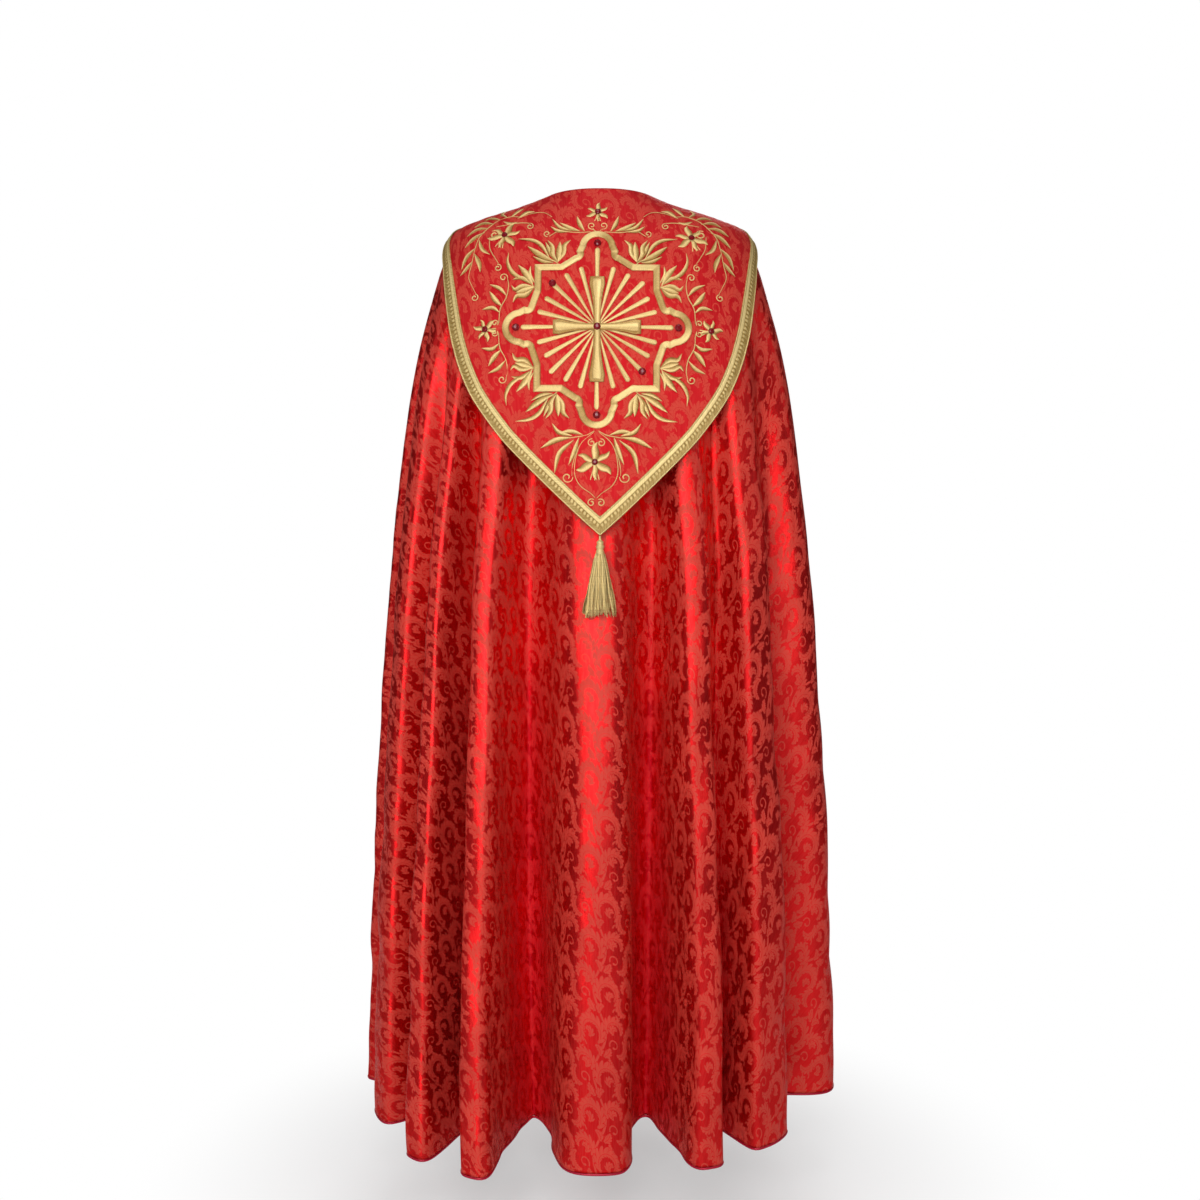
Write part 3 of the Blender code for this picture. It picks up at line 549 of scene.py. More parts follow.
# %% [markdown]
# ## The damask's figure
# Damask shows its figure by weave alone: the ground is satin, and the leaves are matt. The
# figure repeats across the cloth: large acanthus leaves and small scrolls that climb along a
# serpentine stem, each half of the repeat the mirror of the other, moved up by half.
# Every leaf lies along an arc. A point's place on that arc (its share of the
# length, and how far it is off the arc) is all that a leaf needs: an envelope that
# swells and tapers, cut into lobes that lean forward, with a midrib and veins between
# the lobes. A leaf that crosses another keeps a thin line of ground round it.

# %% Group: place on an arc
REPEAT_WIDTH, REPEAT_HEIGHT = 0.116, 0.184
EARLY = 0.35  # radians before its start that still count as near the start
ARC_INPUTS = {"Place": (VECTOR, None), "Centre": (VECTOR, None), "Radius": (FLOAT, 0.02),
              "Start": (FLOAT, 0.0), "Span": (FLOAT, 3.0), "Shrink": (FLOAT, 0.3)}
arc_place, entry, leave = new_group("arc_place", ARC_INPUTS,
                                    {"Share": FLOAT, "Off": FLOAT, "Away": FLOAT})
here, middle = parts_of(entry.outputs["Place"]), parts_of(entry.outputs["Centre"])
radius, start, span, shrink = values_of(entry, "Radius", "Start", "Span", "Shrink")
# into the motif's own repeat: each half of the repeat mirrors the other, half a height up
rise = here[1] - middle[1]
half_turns = reckon("ROUND", rise / (REPEAT_HEIGHT / 2))
y = rise - half_turns * (REPEAT_HEIGHT / 2)
side = 1.0 - abs(reckon("MODULO", half_turns, 2.0)) * 2.0
x = here[0] * side - middle[0]
x = x - reckon("ROUND", x / REPEAT_WIDTH) * REPEAT_WIDTH
# share of the arc's length, distance off the arc, and distance from its nearest point
length = abs(span)
turn = (reckon("ARCTAN2", y, x) - start) * reckon("SIGN", span)
turn = reckon("FLOORED_MODULO", turn + EARLY, 2 * math.pi) - EARLY
share = turn / length
within = reckon("MINIMUM", reckon("MAXIMUM", share, 0.0), 1.0)
reach = radius * (1.0 - shrink * within)
off = reckon("SQRT", x * x + y * y) - reach
past = abs(share - within) * length * reach
feed(leave.inputs["Share"], within)
feed(leave.inputs["Off"], off)
feed(leave.inputs["Away"], reckon("SQRT", off * off + past * past))
print("group:", arc_place.name)


def on_arc(tree, entry):
    """The arc group inside another group, fed from that group's own inputs."""
    return values_of(add(tree, "ShaderNodeGroup", {key: entry.outputs[key] for key in ARC_INPUTS},
                         node_tree=arc_place), "Share", "Off", "Away")


def lay_over(entry, leave, inside, ink, gap):
    """Lay a motif over what is under it, with a thin line of ground round it."""
    under, = values_of(entry, "Under")
    kept = under * ramp(inside, -gap - 0.0005, -gap, 1.0, 0.0)
    feed(leave.inputs["Figure"], reckon("MAXIMUM", kept, ink))


# %% Group: acanthus leaf
acanthus, entry, leave = new_group(
    "acanthus_leaf", {**ARC_INPUTS, "Outer": (FLOAT, 0.015), "Inner": (FLOAT, 0.008),
                      "Lobes": (FLOAT, 7.0), "Under": (FLOAT, 0.0)}, {"Figure": FLOAT})
share, off, away = on_arc(acanthus, entry)
outer, inner, lobes = values_of(entry, "Outer", "Inner", "Lobes")
width = inner + reckon("GREATER_THAN", off, 0.0) * (outer - inner)
swell = reckon("MINIMUM", 1.0, (share * 2.6) ** 0.6 + 0.10)
taper = (1.0 - share ** 3.0) ** 0.7
aside = abs(off)
depth = aside / width
wave = abs(reckon("SINE", (lobes * share - depth) * math.pi))
reach = width * (swell * taper) * (wave ** 0.7 * 0.75 + 0.25)
inside = reach + 0.0016 - away
vein = ramp(wave, 0.10, 0.24, 0.75, 0.0) * ramp(depth, 0.18, 0.30)
midrib = ramp(aside, 0.0004, 0.0010, 1.0, 0.0) * ramp(share, 0.85, 0.95, 1.0, 0.0)
lines = reckon("MAXIMUM", vein, midrib) * ramp(share, 0.03, 0.10)
lay_over(entry, leave, inside, ramp(inside, -0.0002, 0.0003) * (1.0 - lines * 0.7), 0.0011)
print("group:", acanthus.name)

# %% Group: scroll
scroll, entry, leave = new_group(
    "scroll", {**ARC_INPUTS, "Width": (FLOAT, 0.0017), "Ball": (FLOAT, 0.0034),
               "Under": (FLOAT, 0.0)}, {"Figure": FLOAT})
share, off, away = on_arc(scroll, entry)
width, ball = values_of(entry, "Width", "Ball")
thick = (width * ramp(share, 0.0, 1.0, 1.0, 0.65, False)
         + ramp(share, 0.80, 1.0) * (ball - width))
inside = thick - away
lay_over(entry, leave, inside, ramp(inside, -0.0002, 0.0003), 0.0008)
print("group:", scroll.name)

# %% Group: damask figure
# Each column stands higher than its neighbour, so that the leaves don't line up in rows
FIGURE_SCALE, COLUMN_RISE = (0.58, 0.66), 0.42
RAGGED, RAGGED_SCALE = 0.0016, 600.0  # how far the weave's steps shake an edge, and how finely
STEM_SWING, STEM_EDGE = 0.015, (0.0026, 0.0031)
damask_figure, entry, leave = new_group("damask_figure", {"Place": (VECTOR, None)},
                                        {"Figure": FLOAT})
x, y, _ = parts_of(entry.outputs["Place"])
drawn = add(damask_figure, "ShaderNodeCombineXYZ", {
    0: x / FIGURE_SCALE[0], 1: (y + x * COLUMN_RISE) / FIGURE_SCALE[1]}).outputs[0]
ragged = add(damask_figure, "ShaderNodeTexNoise",
             {"Scale": RAGGED_SCALE, "Detail": 0.0, "Vector": drawn}).outputs["Color"]
shaken = add(damask_figure, "ShaderNodeVectorMath",
             {0: ragged, 1: (RAGGED, RAGGED, 0.0), 2: drawn}, operation="MULTIPLY_ADD").outputs[0]
x, y, _ = parts_of(shaken)
x = x - reckon("ROUND", x / REPEAT_WIDTH) * REPEAT_WIDTH
swing = reckon("SINE", y * (2 * math.pi / REPEAT_HEIGHT)) * STEM_SWING
figure = ramp(abs(x - swing), *STEM_EDGE, 1.0, 0.0)
# Drawn in millimetres and degrees: centre x and y, radius, start, span, shrink, then the
# motif's own sizes
MOTIFS = [(scroll, (-46, 8, 13, 10, 300, 0.50), {"Width": 1.7, "Ball": 3.4}),
          (scroll, (37, 30, 12, 200, -300, 0.50), {"Width": 1.7, "Ball": 3.4}),
          (acanthus, (-58, 92, 36, -80, 75, 0.10), {"Outer": 10, "Inner": 9, "Lobes": 6}),
          (acanthus, (40, 62, 22, 205, -225, 0.35), {"Outer": 14, "Inner": 5, "Lobes": 9}),
          (acanthus, (-24, 44, 29, -45, 262, 0.45), {"Outer": 16, "Inner": 6, "Lobes": 11}),
          (acanthus, (-66, 26, 20, 60, -170, 0.20), {"Outer": 10, "Inner": 7, "Lobes": 7}),
          (acanthus, (4, 20, 22, -70, 70, 0.0), {"Outer": 8, "Inner": 9, "Lobes": 4}),
          (acanthus, (-30, 38, 8, -60, 190, 0.20), {"Outer": 9, "Inner": 5, "Lobes": 5}),
          (acanthus, (38, 60, 7, 240, -200, 0.20), {"Outer": 9, "Inner": 4, "Lobes": 5}),
          (acanthus, (10, 96, 12, -150, -120, 0.10), {"Outer": 8, "Inner": 6, "Lobes": 4})]
for kind, (x, y, radius, start, span, shrink), own in MOTIFS:
    sizes = {key: value if key == "Lobes" else value / 1000 for key, value in own.items()}
    motif = add(damask_figure, "ShaderNodeGroup",
                {"Place": shaken, "Under": figure, "Centre": (x / 1000, y / 1000, 0),
                 "Radius": radius / 1000, "Start": math.radians(start),
                 "Span": math.radians(span), "Shrink": shrink, **sizes}, node_tree=kind)
    figure, = values_of(motif, "Figure")
feed(leave.inputs["Figure"], figure)
print("group:", damask_figure.name, len(MOTIFS), "motifs")

# %% [markdown]
# ## The damask itself
# Satin is glossy and nearly metallic in its highlights; the figure is matt. So one mask, the
# figure, drives colour, roughness and metallic. A faint coat gives the satin a second,
# softer gloss. Deep in the folds, where red cloth alone would light it, ground and figure are
# painted crimson: a painted shade, by a value worked out from the depth of the cloth's folds.

# %% Finish: red damask
# Painted shade: the colours of ground and figure deep inside the folds
PAINTED_FOLD_GROUND, PAINTED_FOLD_FIGURE = (0.74, 0.002, 0.017), (0.68, 0.010, 0.019)  # inside the folds
THREAD_SHINE, RED_GLINT = (0.80, 0.09, 0.07), (1.0, 0.30, 0.25)
FIGURE_ROUGHNESS, FIGURE_METALLIC = 0.60, 0.12


def damask_finish(name, ground, figure, dark, satin, sheen, gloss):
    """Satin ground and matt figure; satin is the ground's roughness and metallic."""
    made, tree, shader = new_finish(name)
    place = add(tree, "ShaderNodeUVMap", uv_map="cut").outputs[0]
    mask, = values_of(add(tree, "ShaderNodeGroup", {"Place": place}, node_tree=damask_figure))
    height, tone = values_of(add(tree, "ShaderNodeGroup", {"Place": place}, node_tree=weave))
    # painted shade: 0 on the crests and 1 deep in the folds, where ground and figure turn crimson
    fold, = values_of(add(tree, "ShaderNodeAttribute", attribute_name="painted_fold_shade"), "Fac")
    colour = blend_colour(mask, blend_colour(fold, ground, PAINTED_FOLD_GROUND),
                          blend_colour(fold, figure, PAINTED_FOLD_FIGURE))
    cloudy = uneven(place, 9.0, 3.0)
    colour = blend_colour(ramp(cloudy, 0.3, 0.7, 0.0, 0.20), colour, dark)
    colour = blend_colour(ramp(tone, 0.35, 0.65, 0.0, 0.12), colour, THREAD_SHINE)
    feed_all(shader, {
        "Base Color": colour,
        "Roughness": ramp(mask, 0, 1, satin[0], FIGURE_ROUGHNESS, False),
        "Metallic": ramp(mask, 0, 1, satin[1], FIGURE_METALLIC, False),
        "Normal": raised(height, 0.22, 0.0004),
        "Specular Tint": RED_GLINT, "Sheen Tint": RED_GLINT,
        "Sheen Weight": sheen, "Sheen Roughness": 0.45,
        "Coat Weight": gloss, "Coat Roughness": 0.38})
    return made


red_damask = damask_finish("red_damask", (0.76, 0.011, 0.013), (0.68, 0.054, 0.036),
                           (0.22, 0.001, 0.002), (0.34, 0.95), 0.02, 0.10)
hood_damask = damask_finish("hood_damask", (0.56, 0.005, 0.012), (0.62, 0.056, 0.036),
                            (0.42, 0.002, 0.006), (0.55, 0.40), 0.03, 0.0)
print("finishes:", red_damask.name, hood_damask.name)


# %% Finishes: lining and crimson satin
def plain_weave(name, dark, light, threads, strength, **plain):
    """A plain silk: its threads differ a little in tone, and their relief catches the light."""
    made, tree, shader = new_finish(name)
    place = add(tree, "ShaderNodeUVMap", uv_map="cut").outputs[0]
    height, tone = values_of(add(tree, "ShaderNodeGroup", {
        "Place": place, "Threads per metre": threads}, node_tree=weave))
    feed_all(shader, {"Base Color": blend_colour(tone, dark, light),
                      "Normal": raised(height, strength, 0.0003), **plain})
    return made


lining = plain_weave("red_lining", (0.30, 0.004, 0.008), (0.40, 0.010, 0.014), 1400.0, 0.15,
                     **{"Roughness": 0.55, "Specular Tint": RED_GLINT})
crimson_satin = plain_weave("crimson_satin", (0.34, 0.004, 0.022), (0.62, 0.010, 0.050), 900.0,
                            0.3, Roughness=0.34, Metallic=0.35)
print("finishes:", lining.name, crimson_satin.name)

# %% [markdown]
# ## The cloth
# Each panel is a closed shell: the damask outside, the lining inside, and narrow walls round
# the rim. Near the hem it needs many columns, near the neck few, so the columns halve twice
# on the way up, with a row of five-cornered faces at each change. The lining, which
# carries no figure, takes only every fourth row and at least every second column. Soft
# second folds and small creases are added along the normal, because cloth that hangs free
# is never a clean wave.

# %% Columns and rows
WALL = 0.0016
SPACING = 0.0043  # from column to column at the hem, and from row to row
BAND_ENDS = (0.272, 0.700, float(BACK_REACH[-1]))
STRIDES = (4, 2, 1)
LINING_ROWS, LINING_COLUMNS = 4, 2
PLACES_A_FLANK = 48
bands = list(zip((0.0,) + BAND_ENDS[:-1], BAND_ENDS))
row_counts = [LINING_ROWS * max(1, round((end - start) / SPACING / LINING_ROWS))
              for start, end in bands]
reaches = np.concatenate([np.linspace(start, end, count, endpoint=False)
                          for (start, end), count in zip(bands, row_counts)]
                         + [[BAND_ENDS[-1]]])
row_stride = np.concatenate([np.full(count, stride) for count, stride
                             in zip(row_counts, STRIDES)] + [[1]])
shares = fold_share(reaches)
shares[-1] = 1.0
fine_place = np.linspace(0, LAST_FOLD, LAST_FOLD * PLACES_A_FLANK + 1)
hem_run = run_along(folded(fine_place, HEM, 1.0))
print("rows", len(reaches), "hem run", round(hem_run[-1], 3))


# %% The cloth's surface
def grid_normals(surface):
    return unit(np.cross(np.gradient(surface, axis=0), np.gradient(surface, axis=1)))


def wandering(u, v):
    """Soft second folds and small creases, as a height: sums of slow slanted waves."""
    down = smooth_step(0.18, 1.1, -v + 0 * u)
    soft = (np.sin(u * 58 + 1.8 * np.sin(v * 3.1) + 0.7) * 0.0010
            + np.sin(u * 91 - 2.3 * np.sin(v * 2.3 + 1.1)) * 0.0006
            + np.sin(u * 33 + 2.6 * np.sin(v * 1.7 + 2.0)) * 0.0018)
    patch = 0.5 + 0.5 * np.sin(u * 11.3 + v * 7.9 + 1.3 * np.sin(v * 5.1))
    crease = np.sin(u * 140 + v * 46 + 2.0 * np.sin(v * 9.0 + u * 13)) * 0.00018 * patch
    rumple = np.sin(v * 62 + u * 21 + 1.7 * np.sin(u * 17)) * 0.0002 * patch
    return soft * down + crease + rumple


def panel_places(first, last):
    """Places for one panel's columns, spaced evenly along the hem, in a multiple of eight."""
    start, end = np.interp([first, last], fine_place, hem_run)
    count = 8 * max(1, round((end - start) / SPACING / 8))
    return np.interp(np.linspace(start, end, count + 1), hem_run, fine_place)


MIDDLE_FOLD = 14  # the row of the fold table that lies in the middle of the back
QUIET_EDGE = 5  # columns beside the front edges over which the small folds fade out
# fold depths in metres over which the painted fold shade comes in
PAINTED_SHADE_START, PAINTED_SHADE_END = 0.055, 0.135
all_places = [panel_places(first, last) for _, first, last in PANELS]
joined = np.concatenate([places[(1 if k else 0):] for k, places in enumerate(all_places)])
cloth_places = np.broadcast_arrays(joined[None, :], reaches[:, None], shares[:, None])
surface = folded(*cloth_places)
runs = run_along(surface, axis=1)
middle_column = int(np.abs(joined - MIDDLE_FOLD).argmin())
turn = (runs - runs[:, middle_column:middle_column + 1]) / runs[:, -1:] * CUT_ANGLE
radius = (NECK_RADIUS_IN_CUT + reaches)[:, None]
cut_u, cut_v = radius * np.sin(turn), -radius * np.cos(turn)
from_edge = np.arange(len(joined))
edge_fade = smooth_step(0, QUIET_EDGE, from_edge) * smooth_step(0, QUIET_EDGE, from_edge[::-1])
small_folds = wandering(cut_u, cut_v) * edge_fade[None, :]
surface = surface + grid_normals(surface) * small_folds[..., None]
normals = grid_normals(surface)
outside, inside = surface + normals * WALL / 2, surface - normals * WALL / 2
cut_map = np.stack([cut_u, cut_v], -1)
# Painted shade: how deep in a fold each point lies, which paints the damask crimson there
painted_fold_shade = smooth_step(PAINTED_SHADE_START, PAINTED_SHADE_END, fold_lines(*cloth_places)[1])
print("cloth grid", surface.shape, "inside folds", round(float(painted_fold_shade.mean()), 2))


# %% Faces of a panel
def banded(row_numbers, stride_of, columns, flip):
    """Faces of a grid whose columns halve from band to band: quads, and fives at a change."""
    fours, fives, count = [], [], 0
    index = np.full((len(row_numbers), columns + 1), -1)
    for k, row in enumerate(row_numbers):
        stride = stride_of(row)
        index[k, ::stride] = count + np.arange(columns // stride + 1)
        count += columns // stride + 1
    for k in range(len(row_numbers) - 1):
        above, below = stride_of(row_numbers[k]), stride_of(row_numbers[k + 1])
        top, low = index[k, ::above], index[k + 1, ::above]
        if above == below:
            face = np.stack([top[:-1], low[:-1], low[1:], top[1:]], -1)
        else:
            middle = index[k + 1, above // 2::above]
            face = np.stack([top[:-1], low[:-1], middle, low[1:], top[1:]], -1)
        (fours if above == below else fives).append(face[:, ::-1] if flip else face)
    none = [np.zeros((0, 5), int)]
    return index, np.concatenate(fours), np.concatenate(fives or none)


def rim(fine, coarse, fine_at, coarse_at, flip):
    """The wall between a fine line of vertices and a coarse one, a face for each coarse step."""
    faces = {}
    for k in range(len(coarse_at) - 1):
        low, high = np.searchsorted(fine_at, [coarse_at[k], coarse_at[k + 1]])
        ring = list(fine[low:high + 1]) + [coarse[k + 1], coarse[k]]
        faces.setdefault(len(ring), []).append(ring if flip else ring[::-1])
    return [np.array(group) for group in faces.values()]


# %% Panels
outer_rows = np.arange(len(reaches))
inner_rows = np.arange(0, len(reaches), LINING_ROWS)


def make_panel(name, start, columns):
    """One panel as a closed shell, from its slice of the cloth's grid."""
    span = slice(start, start + columns + 1)
    outer, fours, fives = banded(outer_rows, lambda row: row_stride[row], columns, False)
    inner, in_fours, in_fives = banded(
        inner_rows, lambda row: max(row_stride[row], LINING_COLUMNS), columns, True)
    seen, shut = outer >= 0, inner >= 0
    shift = seen.sum()
    inner = np.where(shut, inner + shift, -1)
    pick = lambda front, back: np.concatenate([front[:, span][seen],
                                               back[inner_rows][:, span][shut]])
    groups = [fours, fives, in_fours + shift, in_fives + shift]
    finish_of = [0, 0, 1, 1]
    for column, flip in ((0, False), (columns, True)):
        groups += rim(outer[:, column], inner[:, column], outer_rows, inner_rows, flip)
    for row, flip in ((0, True), (-1, False)):
        at, inner_at = np.flatnonzero(seen[row]), np.flatnonzero(shut[row])
        groups += rim(outer[row][at], inner[row][inner_at], at, inner_at, flip)
    finish_of += [0] * (len(groups) - len(finish_of))
    made = piece("cloth_" + name, pick(outside, inside), groups, [red_damask, lining],
                 flat_groups=range(4, len(groups)), maps={"cut": pick(cut_map, cut_map)},
                 values={"painted_fold_shade": pick(painted_fold_shade, painted_fold_shade)}, finish_of=finish_of)
    stands_for(made, "panel_" + name)
    return made


panels, start = [], 0
for (name, _, _), places in zip(PANELS, all_places):
    panels.append(make_panel(name, start, len(places) - 1))
    start += len(places) - 1
    print(panels[-1].name, triangles(panels[-1]), "triangles")

# %% [markdown]
# ## The piping
# A thin cord in crimson satin is sewn into the edge, down one front, round the hem and up
# the other front. It is a round profile carried along the cloth's own edge. The covering
# strip is cut on the bias, so its threads run round the cord at a slant.

# %% Tube helper
def tube(line, radius, sides):
    """A round profile carried along a line: rings of points in the planes across the line.

    Each ring's first direction is level, at a right angle to the line.
    """
    ahead = unit(np.gradient(line, axis=0))
    up = (0.0, 0.0, 1.0) if abs(ahead[0][2]) < 0.9 else (0.0, 1.0, 0.0)
    side = unit(np.cross(ahead, up))
    over = np.cross(side, ahead)
    cosine, sine = np.cos(circle(sides)), np.sin(circle(sides))
    ring = cosine[None, :, None] * side[:, None] + sine[None, :, None] * over[:, None]
    return line[:, None] + ring * radius


def tube_faces(rings, sides, start=0):
    """The quads round a tube, and its two flat ends."""
    index = numbered(rings, sides, start)
    return quads(wrapped(index)), np.stack([index[0], index[-1][::-1]])


# %% Piping along the edge
PIPING_RADIUS, GAP = 0.0018, 0.0003
PIPING_STEP, SIDES, SIDE_RUN = 0.0055, 7, 0.0016
clear = PIPING_RADIUS + GAP
left_way = unit(surface[:, 0] - surface[:, 2])
right_way = unit(surface[:, -1] - surface[:, -3])
down_way = unit(surface[-1] - surface[-3])
hem_line = surface[-1] + down_way * clear
left_line = surface[:, 0] + left_way * clear
right_line = surface[:, -1] + right_way * clear
edge_line = np.concatenate([
    left_line[:-1], [left_line[-1] + down_way[0] * clear], hem_line[1:-1],
    [right_line[-1] + down_way[-1] * clear], right_line[:-1][::-1]])
run = run_along(edge_line)
steps = np.linspace(0, run[-1], int(run[-1] / PIPING_STEP))
rings = tube(points_at(edge_line, run, steps), PIPING_RADIUS, SIDES)
piping = piece("piping_cord", rings.reshape(-1, 3), tube_faces(len(steps), SIDES),
               [crimson_satin], flat_groups=(1,),
               maps={"cut": map_of(np.arange(SIDES) * SIDE_RUN, steps[:, None])})
stands_for(piping, "hem_piping")
print("piping", round(run[-1], 2), "m")

# %% [markdown]
# ## The hood
# The hood is a shield of the same damask on a stiff lining. It is joined at the neckline and
# lies close there, and its point hangs a little free. Its surface is the cope's outline
# moved out along the outline's normal, a bit more the further down. The embroidery
# draws the cloth together slightly, so shallow dimples run over the hood, fading out at its top and
# edge.

# %% The hood's surface
HOOD_WALL = 0.0024
HOOD_LIFT_TOP, HOOD_LIFT_TIP, HOOD_REACH = WALL / 2 + 0.0010, 0.0210, 0.556
HOOD_LIFT_CURVE = 1.25
SMALL = 1e-4  # a step for differences, in metres or radians
# how far below the neckline the hood ends, at angles from its middle
HOOD_EDGE = np.array([
    (0.0, HOOD_REACH), (12.5, 0.484), (24.5, 0.423), (35.0, 0.367), (44.0, 0.311),
    (54.5, 0.249), (64.0, 0.211), (78.0, 0.180), (94.0, 0.148), (108.0, 0.104),
    (120.0, 0.054), (128.0, 0.014),
])


def lifted(angle, reach, lift):
    """A point over the outline, moved out along the outline's normal."""
    angle, reach, lift = np.broadcast_arrays(angle, reach, lift)
    level = outline(angle + SMALL, row_at(reach)) - outline(angle - SMALL, row_at(reach))
    down = outline(angle, row_at(reach + SMALL)) - outline(angle, row_at(reach - SMALL))
    return outline(angle, row_at(reach)) + unit(np.cross(down, level)) * lift[..., None]


def on_hood(angle, reach, above=0.0):
    """A point over the hood's outer face."""
    part = (np.asarray(reach) / HOOD_REACH) ** HOOD_LIFT_CURVE
    lift = HOOD_LIFT_TOP + (HOOD_LIFT_TIP - HOOD_LIFT_TOP) * part
    return lifted(angle, reach, lift + HOOD_WALL + above)


def hood_edge(angle):
    """How far the hood reaches below the neckline at an angle, on both sides alike."""
    at = np.interp(np.degrees(np.abs(angle)), HOOD_EDGE[:, 0], np.arange(len(HOOD_EDGE)))
    return between(HOOD_EDGE, at)[..., 1]


def shell(name, front, back, finishes, kept=None, flip=False, maps=None, values=None):
    """A closed shell from two grids of points: front, back and the rim between them.

    The back has only the kept rows and columns. With a finish of its own it is smooth cloth,
    and otherwise it is flat. maps and values are given on the front's grid.
    """
    every_row, every_column = (np.arange(size) for size in front.shape[:2])
    rows, columns = kept or (every_row, every_column)
    index = numbered(*front.shape[:2])
    under = numbered(len(rows), len(columns), index.size)
    walls = (rim(index[-1], under[-1], every_column, columns, flip)
             + rim(index[0], under[0], every_column, columns, not flip)
             + rim(index[:, 0], under[:, 0], every_row, rows, flip)
             + rim(index[:, -1], under[:, -1], every_row, rows, not flip))
    both = lambda table, low: np.concatenate([listed(table), listed(low[rows][:, columns])])
    return piece(name, both(front, back), [quads(index, flip), quads(under, not flip)] + walls,
                 finishes, flat_groups=range(len(finishes), 2 + len(walls)),
                 finish_of=[0, len(finishes) - 1] + [0] * len(walls),
                 maps={key: both(table, table) for key, table in maps.items()},
                 values={key: both(row, row) for key, row in (values or {}).items()})


# %% Hood shell
HOOD_TURN = HOOD_EDGE[-1, 0]
HOOD_COLUMNS, HOOD_ROWS = 288, 128
LEVELS, TURNS = 48, 256  # the table of how far round the hood a point lies
FADE_ROWS = 12  # the dimples fade out in a twelfth of the hood's length at each end
fine_angle = np.radians(np.linspace(-HOOD_TURN, HOOD_TURN, 1201))
edge_points = on_hood(fine_angle, hood_edge(fine_angle))
edge_run = run_along(edge_points)
hood_angle = np.interp(np.linspace(0, edge_run[-1], HOOD_COLUMNS + 1), edge_run, fine_angle)
share = np.linspace(0.004, 1.0, HOOD_ROWS + 1)
hood_reach = share[:, None] * hood_edge(hood_angle)[None, :]
hood_grid_angle = np.broadcast_to(hood_angle[None, :], hood_reach.shape)
outer = on_hood(hood_grid_angle, hood_reach)

levels = np.linspace(0, HOOD_REACH, LEVELS + 1)
turns = np.radians(np.linspace(-HOOD_TURN, HOOD_TURN, TURNS + 1))
level_run = run_along(on_hood(turns[None, :], levels[:, None] + 0 * turns[None, :]), axis=1)
level_run -= level_run[:, TURNS // 2:TURNS // 2 + 1]
at_level = hood_reach / HOOD_REACH * LEVELS
at_turn = (hood_grid_angle / turns[-1] + 1) * (TURNS // 2)
low = np.minimum(at_level.astype(int), LEVELS - 1)
left = np.minimum(at_turn.astype(int), TURNS - 1)
by_level, by_turn = at_level - low, at_turn - left
round_at = lambda level: (level_run[level, left] * (1 - by_turn)
                          + level_run[level, left + 1] * by_turn)
hood_u = round_at(low) * (1 - by_level) + round_at(low + 1) * by_level
hood_v = -hood_reach

dimple = (np.sin(hood_u * 150 + 2 * np.sin(hood_reach * 60))
          * np.sin(hood_reach * 130 + hood_u * 40) * 0.00028
          + np.sin(hood_u * 37 + hood_reach * 21) * 0.0005)
fade = np.minimum(1, np.minimum(share, 1 - share) * FADE_ROWS)[:, None]
normal = grid_normals(outer)
outer = outer + normal * (dimple * fade)[..., None]
hood = shell("hood_shield", outer, outer - normal * HOOD_WALL, [hood_damask, lining],
             (np.arange(0, HOOD_ROWS + 1, 4), np.arange(0, HOOD_COLUMNS + 1, 2)),
             maps={"cut": np.stack([hood_u, hood_v], -1)})
stands_for(hood, "hood")
print("hood", triangles(hood), "triangles, edge", round(edge_run[-1], 2))

# %% [markdown]
# ## Gold thread
# The embroidery is satin stitch: gold threads laid side by side across each leaf and band,
# so close that they read as one raised, silky surface. Each stroke is made as a low
# crowned strip with its own map: along the strip, and across it. The material draws the
# threads across the strip from that map, and the crown gives the highlight that runs down
# every leaf. A leaf has a dip along its middle, where the threads of its two halves meet,
# and one half is painted darker, a painted shade for threads that turn away from the light.

# %% Finish: gold thread
THREAD_SLANT, STRAND_SHARE, STRAND_ACROSS = 0.8, 0.4, 60.0
UNEVEN_TONE, RIDGE_SHARE = 1.1, 0.4


def gold_finish(name, light, dark, pitch, roughness, metallic, bump_strength):
    """Gold thread: tone, partly painted shade, picks light or dark; fine ridges run across the
    strip.
    """
    made, tree, shader = new_finish(name)
    along, across, _ = parts_of(add(tree, "ShaderNodeUVMap", uv_map="thread").outputs[0])
    phase = (along - abs(across) * THREAD_SLANT) / pitch
    spread = add(tree, "ShaderNodeCombineXYZ",
                 {0: phase * STRAND_SHARE, 1: across * STRAND_ACROSS}).outputs[0]
    strand = uneven(spread, 1.0, 2.0)
    tone, = values_of(add(tree, "ShaderNodeAttribute", attribute_name="tone"), "Fac")
    share = ramp(tone, -0.5, 0.5) + (strand - 0.5) * UNEVEN_TONE
    ridges = reckon("SINE", phase * 6.283)
    feed_all(shader, {"Base Color": blend_colour(ramp(share, 0, 1, 0, 1, False), dark, light),
                      "Roughness": roughness, "Metallic": metallic,
                      "Normal": raised(ridges * RIDGE_SHARE + strand, bump_strength, 0.0003)})
    return made


# Light and dark gold for both finishes: tone blends them, as the threads' own uneven tone and as
# painted highlight and shade
CREAM_GOLD, OCHRE_GOLD = (0.90, 0.66, 0.27), (0.36, 0.19, 0.035)
gold_thread = gold_finish("gold_thread", CREAM_GOLD, OCHRE_GOLD, 0.00055, 0.42, 0.32, 0.32)
woven_gold = gold_finish("woven_gold", (0.88, 0.68, 0.30), (0.30, 0.18, 0.035), 0.0008, 0.42,
                         0.35, 0.35)
print("finishes:", gold_thread.name, woven_gold.name)

# %% Flat drawings on the hood
EMBLEM_PLACE = (-0.8, 0.241)  # degrees round the hood, metres below the neckline
NEWTON_STEPS, LONGEST_TURN, LONGEST_DROP = 12, 0.2, 0.05


